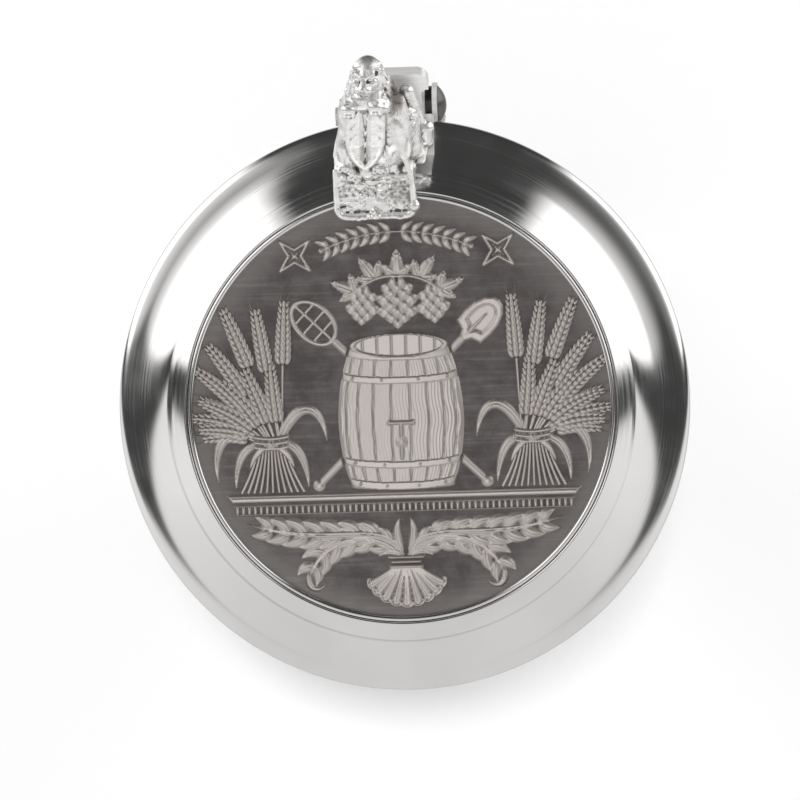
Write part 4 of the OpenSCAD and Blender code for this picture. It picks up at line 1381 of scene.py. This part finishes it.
def lion_shield(work):
    """Plain shield with a border and a grooved middle line, held before the chest."""
    cut, (x, t, d) = work.part((-6.4, 0.4, 16.2), (4.0, 17.0, 20.9))
    u = x + 0.8 + 0.09 * (14.2 - t)
    flat = np.broadcast_arrays(u[:, :, 0], t[:, :, 0])
    side = curve((3.05, 8.4), (3.05, 5.0), (1.6, 3.4), (0, 2.0), n=14)
    loop = np.vstack([[(-3.05, 14.7), (0.0, 15.1), (3.05, 14.7)], side, (side * (-1, 1))[-2::-1]])
    edge, _ = nearest(*flat, np.vstack([loop, loop[:1]]))
    depth = np.where(inside(*flat, loop), np.abs(edge), -np.abs(edge))
    bend = 7.4
    front = 18.9 - 0.03 * flat[0] ** 2 - np.where(flat[1] > bend, 0.075, -0.07) * (flat[1] - bend)
    front = front + 0.08 * np.clip(1 - (depth - 0.34) ** 4 / 0.02, 0, 1)
    front = front - 0.5 * np.exp(-(flat[0] / 0.6) ** 2) * np.clip((depth - 0.8) * 3, 0, 1)
    thick = np.maximum(d - front[:, :, None], 17.2 - d)
    work.put(cut, np.maximum(thick, -depth[:, :, None]), 0.12)
    for x, t, d in ((-3.35, 14.5, 18.35), (0.75, 14.9, 18.4)):
        work.lump((x, t, d), (1.2, 0.95, 0.95), 0.15)
        for k in (-1, 0, 1):
            work.limb((x + 0.62 * k, t - 0.1, d + 0.45), 0.4, (x + 0.68 * k, t - 1.0, d + 0.55), 0.34, 0.1)


def lion_plinth(work):
    """Rocky plinth with a rim along its foot and sides."""
    cut, (x, t, d) = work.part((-9.0, -8.6, 9.0), (7.4, 3.4, 20.9))
    foot, slant = -6.0, 0.16
    sides = (np.abs(x + 0.75) - 5.2 + 0.02 * (t - foot), np.abs(t + 3.0) - 3.5,
             np.abs(d - 14.0) - 4.4 + slant * (t - foot))
    near = np.sqrt(sum(np.maximum(side, 0) ** 2 for side in sides))
    work.put(cut, near + np.minimum(np.maximum(np.maximum(sides[0], sides[1]), sides[2]), 0) - 1.1, 0.3)
    rng = np.random.default_rng(21)
    for count, low, high, small, large in ((16, -3.6, 1.2, 1.2, 1.9), (60, -6.2, -2.6, 0.4, 0.8),
                                           (80, 0.4, 4.7, 0.35, 0.7)):
        for _ in range(count):
            x, t, size = rng.uniform(low, high), rng.uniform(-6.2, 1.9), rng.uniform(small, large)
            d = 19.5 - slant * (t - foot) - 0.6 * size + rng.uniform(-0.2, 0.2)
            work.rock((x, t, d), size, rng)
    for _ in range(26):
        centre = (rng.choice((-6.5, 4.9)), rng.uniform(-5.2, 1.2), rng.uniform(12.0, 17.6))
        work.rock(centre, rng.uniform(0.5, 0.8), rng)
    rim = np.vstack([[(-6.6, 1.6, 17.6)],
                     curve((-6.75, -4.2, 19.3), (-6.75, foot, 19.9), (-5.0, foot, 19.9), n=6),
                     curve((3.4, foot, 19.9), (5.2, foot, 19.9), (5.2, -4.2, 19.3), n=6),
                     [(4.9, 1.0, 17.9), (3.7, 5.8, 17.2)]])
    thick = np.interp(np.arange(len(rim)), (0, 2, len(rim) - 3, len(rim) - 1), (0.38, 0.6, 0.6, 0.28))
    for a, ra, b, rb in zip(rim, thick, rim[1:], thick[1:]):
        work.limb(a, ra, b, rb, 0.12)
    for x in np.linspace(-5.4, 3.8, 11):
        work.lump((x, foot + rng.uniform(-0.15, 0.25), 20.0), rng.uniform(0.45, 0.8, 3), 0.15)
    work.lump((5.2, -4.3, 19.6), (0.95, 0.95, 0.95), 0.2)


# Places where the casting's colour is painted darker, the first being painted shade on the right of the mane:
# x, t, half width, half height and how much darker
DARKENED_PATCHES = ((3.6, 14.6, 1.2, 3.4, 0.95), (0.0, 22.0, 4.0, 2.4, 0.85), (3.2, -2.2, 2.2, 3.2, 0.55),
                (-5.0, -1.5, 1.6, 3.0, 0.35))


def lion_mesh(name, sizes, lid_top):
    """Mesh of the thumb lift in metres, cut to sit on the lid and the lever."""
    work = Sculpture((-9.2, -8.4, 9.6), (9.2, 22.6, 21.2), 0.15)
    lid_gap = 0.1
    for part in (lion_plinth, lion_body, lion_shield, lion_mane, lion_head):
        part(work)
    lean, seat, offset = sizes.lean, sizes.seat / MM, sizes.offset / MM
    up, out = np.array([0, math.cos(lean), math.sin(lean)]), np.array([0, -math.sin(lean), math.cos(lean)])
    x, t, d = np.meshgrid(*work.axes, indexing="ij", sparse=True)
    np.maximum(work.f, seat + SEAT_GAP - d, out=work.f)
    screw = np.hypot(x, t - sizes.screw_reach / MM) - sizes.screw_radius / MM - SEAT_GAP
    np.maximum(work.f, -np.maximum(screw, d - seat - sizes.screw_bite / MM - SEAT_GAP), out=work.f)
    y, z = (PIN[k] + t * up[k] + d * out[k] for k in (1, 2))
    np.maximum(work.f, np.interp(np.hypot(x + offset, y), *lid_top) + lid_gap - z, out=work.f)
    verts, faces = work.mesh()
    cells = tuple(np.round((verts[:, k] - work.axes[k][0]) / work.step).astype(int) for k in range(3))
    spread = verts[:, :1] * (1, 0, 0) + verts[:, 1:2] * up + verts[:, 2:] * out
    mesh = bpy.data.meshes.new(name)
    mesh.from_pydata((spread + np.array([offset, PIN.y, PIN.z])) * MM, [], faces.tolist())
    # Hollows darkened in colour: dark patina together with painted shade
    wear_and_shade = np.clip((work.openness(0.45)[cells] + 0.1) / 0.12, 0, 1)
    # Painted darkening in the listed patches; the first stands for shade on the mane
    for x, t, half_x, half_t, darker in DARKENED_PATCHES:
        wear_and_shade *= 1 - darker * np.exp(-((verts[:, 0] - x) / half_x) ** 4 - ((verts[:, 1] - t) / half_t) ** 4)
    set_wear_and_shade(mesh, wear_and_shade)
    finish_mesh(mesh, 180.0)
    return mesh


# Operators, one for each piece or group of like pieces


class BEERGLASS_OT_stage(bpy.types.Operator):
    """Floor, studio light and the camera"""
    bl_idname = "beerglass.stage"
    bl_label = "Stage"

    def execute(self, context):
        settings = context.scene.beer_stage
        self.floor()
        self.world(context.scene)
        self.lamps(context.scene)
        self.camera(context.scene, settings)
        context.scene.view_settings.view_transform = "Standard"
        return {"FINISHED"}

    def floor(self):
        """Pale round floor: partly lit by itself for the camera, and grey in mirrors."""
        mesh = bpy.data.meshes.new("floor")
        ring = [(*point, 0.0) for point in arc(0.0, 0.0, FLOOR_RADIUS, 0, 360, 96)[:-1]]
        mesh.from_pydata(ring, [], [list(range(len(ring)))])
        floor = bpy.data.objects.new("floor", mesh)
        bpy.context.scene.collection.objects.link(floor)
        material = bpy.data.materials.new("pale_floor")
        material.use_nodes = True
        tree = material.node_tree
        tree.nodes.clear()
        cloth = add(tree, "ShaderNodeBsdfDiffuse", {"Color": (0.9, 0.9, 0.9, 1)})
        white = add(tree, "ShaderNodeEmission", {"Color": (1, 1, 1, 1), "Strength": 1.0})
        grey = add(tree, "ShaderNodeEmission", {"Color": (1, 1, 1, 1), "Strength": 0.6})
        path = tree.nodes.new("ShaderNodeLightPath")
        seen = maths(tree, "MAXIMUM", path.outputs["Is Camera Ray"], path.outputs["Is Transmission Ray"])
        mix = add(tree, "ShaderNodeMixShader", {0: maths(tree, "MULTIPLY", seen, 0.15), 1: cloth.outputs[0],
                                                2: white.outputs[0]})
        mirrored = maths(tree, "GREATER_THAN", path.outputs["Is Glossy Ray"],
                         path.outputs["Is Transmission Ray"])
        mix = add(tree, "ShaderNodeMixShader", {0: mirrored, 1: mix.outputs[0], 2: grey.outputs[0]})
        output = tree.nodes.new("ShaderNodeOutputMaterial")
        tree.links.new(mix.outputs[0], output.inputs["Surface"])
        mesh.materials.append(material)

    def world(self, scene):
        """Studio round the lid: a pale table before it, a dark gap above, and a soft box on either hand."""
        world = bpy.data.worlds.new("studio")
        world.use_nodes = True
        scene.world = world
        tree = world.node_tree
        tree.nodes.clear()
        direction = tree.nodes.new("ShaderNodeTexCoord").outputs["Generated"]
        x, y, z = add(tree, "ShaderNodeSeparateXYZ", {0: direction}).outputs
        tilt = maths(tree, "MULTIPLY", maths(tree, "ARCCOSINE", z), math.degrees(1))
        beside = maths(tree, "ARCTAN2", y, maths(tree, "ABSOLUTE", x))
        beside = maths(tree, "MULTIPLY", beside, math.degrees(1))

        def plane(across, up):
            """Height over a plane through the lid that is tipped sideways and upwards."""
            side = maths(tree, "MULTIPLY_ADD", x, across, y)
            return maths(tree, "MULTIPLY_ADD", z, up, side)

        table = maths(tree, "MULTIPLY", smooth_range(tree, plane(0.03, 0.22), -0.01, -0.11),
                      smooth_range(tree, beside, -65.0, -15.0, 0.71, 0.9))
        right = maths(tree, "ADD", smooth_range(tree, tilt, 16.0, 50.0, 0.09, 0.7),
                      smooth_range(tree, tilt, 50.0, 62.0, 0.0, 0.9))
        left = maths(tree, "ADD", smooth_range(tree, tilt, 8.0, 46.0, 0.24, 1.05),
                     smooth_range(tree, tilt, 36.0, 50.0, 0.0, 0.5))
        side = smooth_range(tree, x, -0.06, 0.06)
        boxes = maths(tree, "ADD", maths(tree, "MULTIPLY", right, side),
                      maths(tree, "MULTIPLY", left, maths(tree, "SUBTRACT", 1.0, side)))
        boxes = maths(tree, "MULTIPLY", boxes, smooth_range(tree, plane(0.027, 0.08), 0.12, 0.165))
        boxes = maths(tree, "MULTIPLY", boxes, smooth_range(tree, beside, 59.0, 50.0))
        over = add(tree, "ShaderNodeVectorMath", {0: direction, 1: Vector((-0.1, -0.08, 1.0)).normalized()},
                   operation="DOT_PRODUCT").outputs["Value"]
        over = smooth_range(tree, over, math.cos(math.radians(15.0)), math.cos(math.radians(7.0)), 0.05, 0.5)
        level = maths(tree, "ADD", maths(tree, "MAXIMUM", table, boxes), over)
        path = tree.nodes.new("ShaderNodeLightPath")
        seen = maths(tree, "MAXIMUM", path.outputs["Is Camera Ray"], path.outputs["Is Transmission Ray"])
        level = maths(tree, "ADD", maths(tree, "MULTIPLY", level, maths(tree, "SUBTRACT", 1.0, seen)), seen)
        shade = add(tree, "ShaderNodeBackground", {"Color": (1, 1, 1, 1), "Strength": level})
        output = tree.nodes.new("ShaderNodeOutputWorld")
        tree.links.new(shade.outputs[0], output.inputs["Surface"])

    def lamps(self, scene):
        """Strip over the lid for its soft shadow, and cards that light only the relief or the thumb lift."""
        lift = bpy.data.collections.new("figure_and_hinge")
        nodes = frame["nodes"]
        for piece in (bpy.data.objects["lion_lift"], nodes["lid_lever"], nodes["collar_strap"]):
            lift.objects.link(piece)
        disc = bpy.data.collections.new("relief")
        pewter = bpy.data.materials["antique_pewter"]
        for piece in bpy.data.objects:
            if piece.type == "MESH" and pewter in piece.data.materials.values():
                disc.objects.link(piece)
        target = Vector((-0.002, 0.036, 0.252))
        for name, at, aim, width, height, level, only in (
                ("strip", (0.065, 0.15, 1.44), (0, 0, 0.24), 0.1, 0.06, 620.0, None),
                ("relief_card", (-0.07, -0.056, 0.95), (0, 0, 0.2485), 0.4, 0.4, 1.9, disc),
                ("front_card", (-0.05, -0.45, 0.37), target, 0.34, 0.09, 0.9, lift),
                ("back_card", (-0.05, 0.65, 0.48), target, 0.5, 0.66, 0.55, lift)):
            data = bpy.data.lights.new(name, "AREA")
            data.shape = "RECTANGLE"
            data.size, data.size_y = width, height
            data.energy = level * math.pi * width * height
            lamp = bpy.data.objects.new(name, data)
            scene.collection.objects.link(lamp)
            lamp.location = at
            lamp.rotation_euler = (Vector(aim) - Vector(at)).to_track_quat("-Z", "Y").to_euler()
            lamp.visible_camera = False
            lamp.visible_transmission = False
            if only:
                lamp.light_linking.receiver_collection = only
            else:
                lamp.visible_glossy = False

    def camera(self, scene, settings):
        """Camera over the lid, turned and shifted so that the lid lies where the settings say."""
        data = bpy.data.cameras.new("camera")
        camera = bpy.data.objects.new("camera", data)
        scene.collection.objects.link(camera)
        scene.camera = camera
        back = Vector((math.tan(settings.tilt_side), math.tan(settings.tilt_back), 1.0)).normalized()
        right = Vector((1, 0, 0)) - back * back.x
        right.normalize()
        look = Matrix((right, back.cross(right), back)).transposed()
        basis = look @ Matrix.Rotation(-settings.roll, 3, "Z")
        lid_mid = Vector((0, 0, BRIM_LOW.z * MM + scene.beer_lid.skirt_depth + scene.beer_lid.edge_radius))
        per_px = BRIM_HIGH.x * MM / settings.lid_px
        off_x = (settings.centre_px[0] - IMAGE_PX / 2) * per_px
        off_y = (settings.centre_px[1] - IMAGE_PX / 2) * per_px
        aim = lid_mid - basis @ Vector((off_x, -off_y, 0))
        camera.location = aim + back * settings.distance
        camera.rotation_euler = basis.to_euler()
        data.sensor_width = SENSOR_MM
        data.lens = settings.distance * SENSOR_MM / (per_px * IMAGE_PX)
        data.clip_start = 0.01
        data.clip_end = 20.0


class BEERGLASS_OT_glass(bpy.types.Operator):
    """The glass"""
    bl_idname = "beerglass.glass"
    bl_label = "Glass"

    def execute(self, context):
        sizes = context.scene.beer_glass
        verts, faces = lathe(GlassOutline(sizes).section(), 192)
        material = clear_glass(tuple(sizes.tint))
        make_piece("glass_body", verts, faces, material, "glass", ["beer_glass"])
        return {"FINISHED"}


class BEERGLASS_OT_lid(bpy.types.Operator):
    """Turned brim and the bezel wire"""
    bl_idname = "beerglass.lid"
    bl_label = "Lid"

    def execute(self, context):
        sizes = context.scene.beer_lid
        outline = LidOutline(sizes)
        pewter = polished_pewter(tuple(sizes.pewter))
        verts, faces = lathe(outline.section(), 384)
        make_piece("brim", verts, faces, pewter, "lid", ["lid_brim"], 28.0)
        low, high = box_mm("bezel_ring")
        wire = outline.mm["bezel_radius"]
        ring = arc(high.x - wire, (low.z + high.z) / 2, wire, 0, 360, 20)[:-1]
        verts, faces = lathe(ring, 384)
        make_piece("bezel_wire", verts, faces, pewter, "lid", ["bezel_ring"])
        return {"FINISHED"}


class BEERGLASS_OT_medallion(bpy.types.Operator):
    """Ground of the relief disc"""
    bl_idname = "beerglass.medallion"
    bl_label = "Relief disc"

    def execute(self, context):
        outline = LidOutline(context.scene.beer_lid)
        field = outline.field + outline.underside
        low = DISC_LOW.z
        radius = outline.disc_r
        edge = 0.1
        section = [(0, low), (radius, low), (radius, field - edge)]
        section += arc(radius - edge, field - edge, edge, 0, 90, 4)
        section += [(radius * s, field) for s in np.linspace(0.98, 0.0, 40)]
        verts, faces = lathe(section)
        disc = make_piece("relief_ground", verts, faces, antique_pewter(), "lid",
                          ["relief_medallion"])
        set_wear_and_shade(disc.data, np.zeros(len(disc.data.vertices)))
        return {"FINISHED"}


class BEERGLASS_OT_relief(bpy.types.Operator):
    """Raised work of the relief disc: ledge, cask and tools, hops, sheaves, scroll, stars"""
    bl_idname = "beerglass.relief"
    bl_label = "Relief"

    def execute(self, context):
        outline = LidOutline(context.scene.beer_lid)
        ground = outline.field + outline.underside
        material = bpy.data.materials["antique_pewter"]
        works = {"relief_cask": cask_work, "relief_hops": hop_work, "relief_stars": star_work,
                 "relief_ties": sheaf_work, "relief_ledge": ledge_work, "relief_scroll": scroll_work}
        for name, motif in works.items():
            finish_piece(name, relief_mesh(name, motif(), ground), material, "lid")
        self.sheaves(ground, material)
        self.dentils(ground, material)
        return {"FINISHED"}

    def grown(self, name, mesh, ground, material, full):
        """Finished piece of a grown mesh, rubbed more the higher it lies, fully at a given height."""
        place = np.empty(len(mesh.vertices) * 3)
        mesh.vertices.foreach_get("co", place)
        set_wear_and_shade(mesh, np.clip((place[2::3] / MM - ground) / full, 0, 1) ** 1.3 * 0.85)
        mesh.vertices.foreach_set("co", (place.reshape(-1, 3) * (SPREAD, SPREAD, 1.0)).ravel())
        finish_piece(name, mesh, material, "lid")

    def sheaves(self, ground, material):
        """Ears and stalks of both sheaves; the second row of ears lies on the first."""
        stalks, ears = [], []
        low, row_rise = ground + 0.12, 0.2
        for side in (1, -1):
            stems, heads = sheaf_lines(side)
            stalks += [[(x * MM, y * MM, low * MM) for x, y in path] for path in stems]
            ears += [[(x * MM, y * MM, (low + row_rise * row) * MM) for x, y in path] for row, path in heads]
        grain = helper_object("grain_shape", *drop_shape(2.3, 0.52, 0.4))
        beard = helper_object("beard_shape", *drop_shape(5.0, 0.1, 0.12, rings=4, sides=4, blunt=0.5))
        mesh = grow("relief_ears", ears, barley_tree(material), Grain=grain, Beard=beard, Pitch=0.95 * MM,
                    Spread=0.42 * MM)
        self.grown("relief_ears", mesh, ground, material, 0.62)
        mesh = grow("relief_stalks", stalks, stalk_tree(material), Radius=0.24 * MM)
        self.grown("relief_stalks", mesh, ground, material, 0.36)
        for helper in (grain, beard):
            bpy.data.objects.remove(helper)

    def dentils(self, ground, material):
        """Row of small teeth under the ledge."""
        half_x, half_y, low, high, edge = 0.21, 0.62, -0.2, 0.4, 0.1
        ring = [(-1, -1), (1, -1), (1, 1), (-1, 1)]
        verts = [(x * half_x, y * half_y, low) for x, y in ring]
        verts += [(x * half_x, y * half_y, high - edge) for x, y in ring]
        verts += [(x * (half_x - edge), y * (half_y - edge), high) for x, y in ring]
        faces = [(3, 2, 1, 0), (8, 9, 10, 11)]
        faces += [(a + i, a + (i + 1) % 4, a + 4 + (i + 1) % 4, a + 4 + i) for a in (0, 4) for i in range(4)]
        tooth = helper_object("tooth_shape", verts, faces)
        count, pitch = 57, 0.95
        row_y = -15.68
        start = [(-(count - 1) / 2 * pitch * MM, row_y * MM, ground * MM)]
        mesh = grow("relief_dentils", [start], row_tree(material), Tooth=tooth, Count=count, Pitch=pitch * MM)
        self.grown("relief_dentils", mesh, ground, material, 0.4)
        bpy.data.objects.remove(tooth)


class BEERGLASS_OT_hardware(bpy.types.Operator):
    """Finish of the hinge, the collar and the fasteners"""
    bl_idname = "beerglass.hardware"
    bl_label = "Hinge and collar"

    def execute(self, context):
        for name, colour, rough_low, rough_high, metal, nodes in (
                ("fastener_steel", (0.74, 0.74, 0.74), 0.2, 0.34, 0.5,
                 ("clamp_screw", "clamp_nut", "clamp_sleeve", "lever_screws", "lift_screw")),
                ("dark_rivet", (0.16, 0.15, 0.145), 0.25, 0.4, 1.0, ("hinge_pin", "pin_washers")),
                ("strap_metal", (0.82, 0.81, 0.79), 0.36, 0.5, 0.5, ("collar_strap",)),
                ("lever_pewter", (0.84, 0.83, 0.82), 0.34, 0.48, 0.5, ("lid_lever",))):
            material = brushed_metal(name, colour, rough_low, rough_high, metal)
            for node in nodes:
                dress(node, material)
        dress("collar_liner", liner_rubber())
        return {"FINISHED"}


class BEERGLASS_OT_thumb_lift(bpy.types.Operator):
    """Cast thumb lift"""
    bl_idname = "beerglass.thumb_lift"
    bl_label = "Thumb lift"

    def execute(self, context):
        outline = LidOutline(context.scene.beer_lid)
        mesh = lion_mesh("lion_lift", context.scene.beer_lift, outline.top())
        finish_piece("lion_lift", mesh, plated_casting(), "lid", ["thumb_lift"])
        return {"FINISHED"}


class BEERGLASS_PT_panel(bpy.types.Panel):
    """Lists the pieces in the sidebar"""
    bl_idname = "BEERGLASS_PT_panel"
    bl_label = "Beer glass"
    bl_space_type = "VIEW_3D"
    bl_region_type = "UI"
    bl_category = "Beer glass"

    def draw(self, context):
        for operator in OPERATORS:
            self.layout.operator(operator.bl_idname)


GROUPS = {"beer_glass": GlassSizes, "beer_lid": LidSizes, "beer_lift": LiftSizes, "beer_stage": StageSettings}
OPERATORS = (BEERGLASS_OT_glass, BEERGLASS_OT_lid, BEERGLASS_OT_medallion, BEERGLASS_OT_relief,
             BEERGLASS_OT_hardware, BEERGLASS_OT_thumb_lift, BEERGLASS_OT_stage)


def register():
    """Adds the settings, the operators and the panel."""
    for group in GROUPS.values():
        bpy.utils.register_class(group)
    for operator in OPERATORS:
        bpy.utils.register_class(operator)
    bpy.utils.register_class(BEERGLASS_PT_panel)
    for name, group in GROUPS.items():
        setattr(bpy.types.Scene, name, bpy.props.PointerProperty(type=group))


def unregister():
    """Takes away what register adds."""
    for name in GROUPS:
        delattr(bpy.types.Scene, name)
    bpy.utils.unregister_class(BEERGLASS_PT_panel)
    for operator in reversed(OPERATORS):
        bpy.utils.unregister_class(operator)
    for group in GROUPS.values():
        bpy.utils.unregister_class(group)


def main():
    """Makes every piece and then the stage."""
    register()
    bpy.ops.beerglass.glass()
    bpy.ops.beerglass.lid()
    bpy.ops.beerglass.medallion()
    bpy.ops.beerglass.relief()
    bpy.ops.beerglass.hardware()
    bpy.ops.beerglass.thumb_lift()
    bpy.ops.beerglass.stage()


if __name__ == "__main__":
    main()
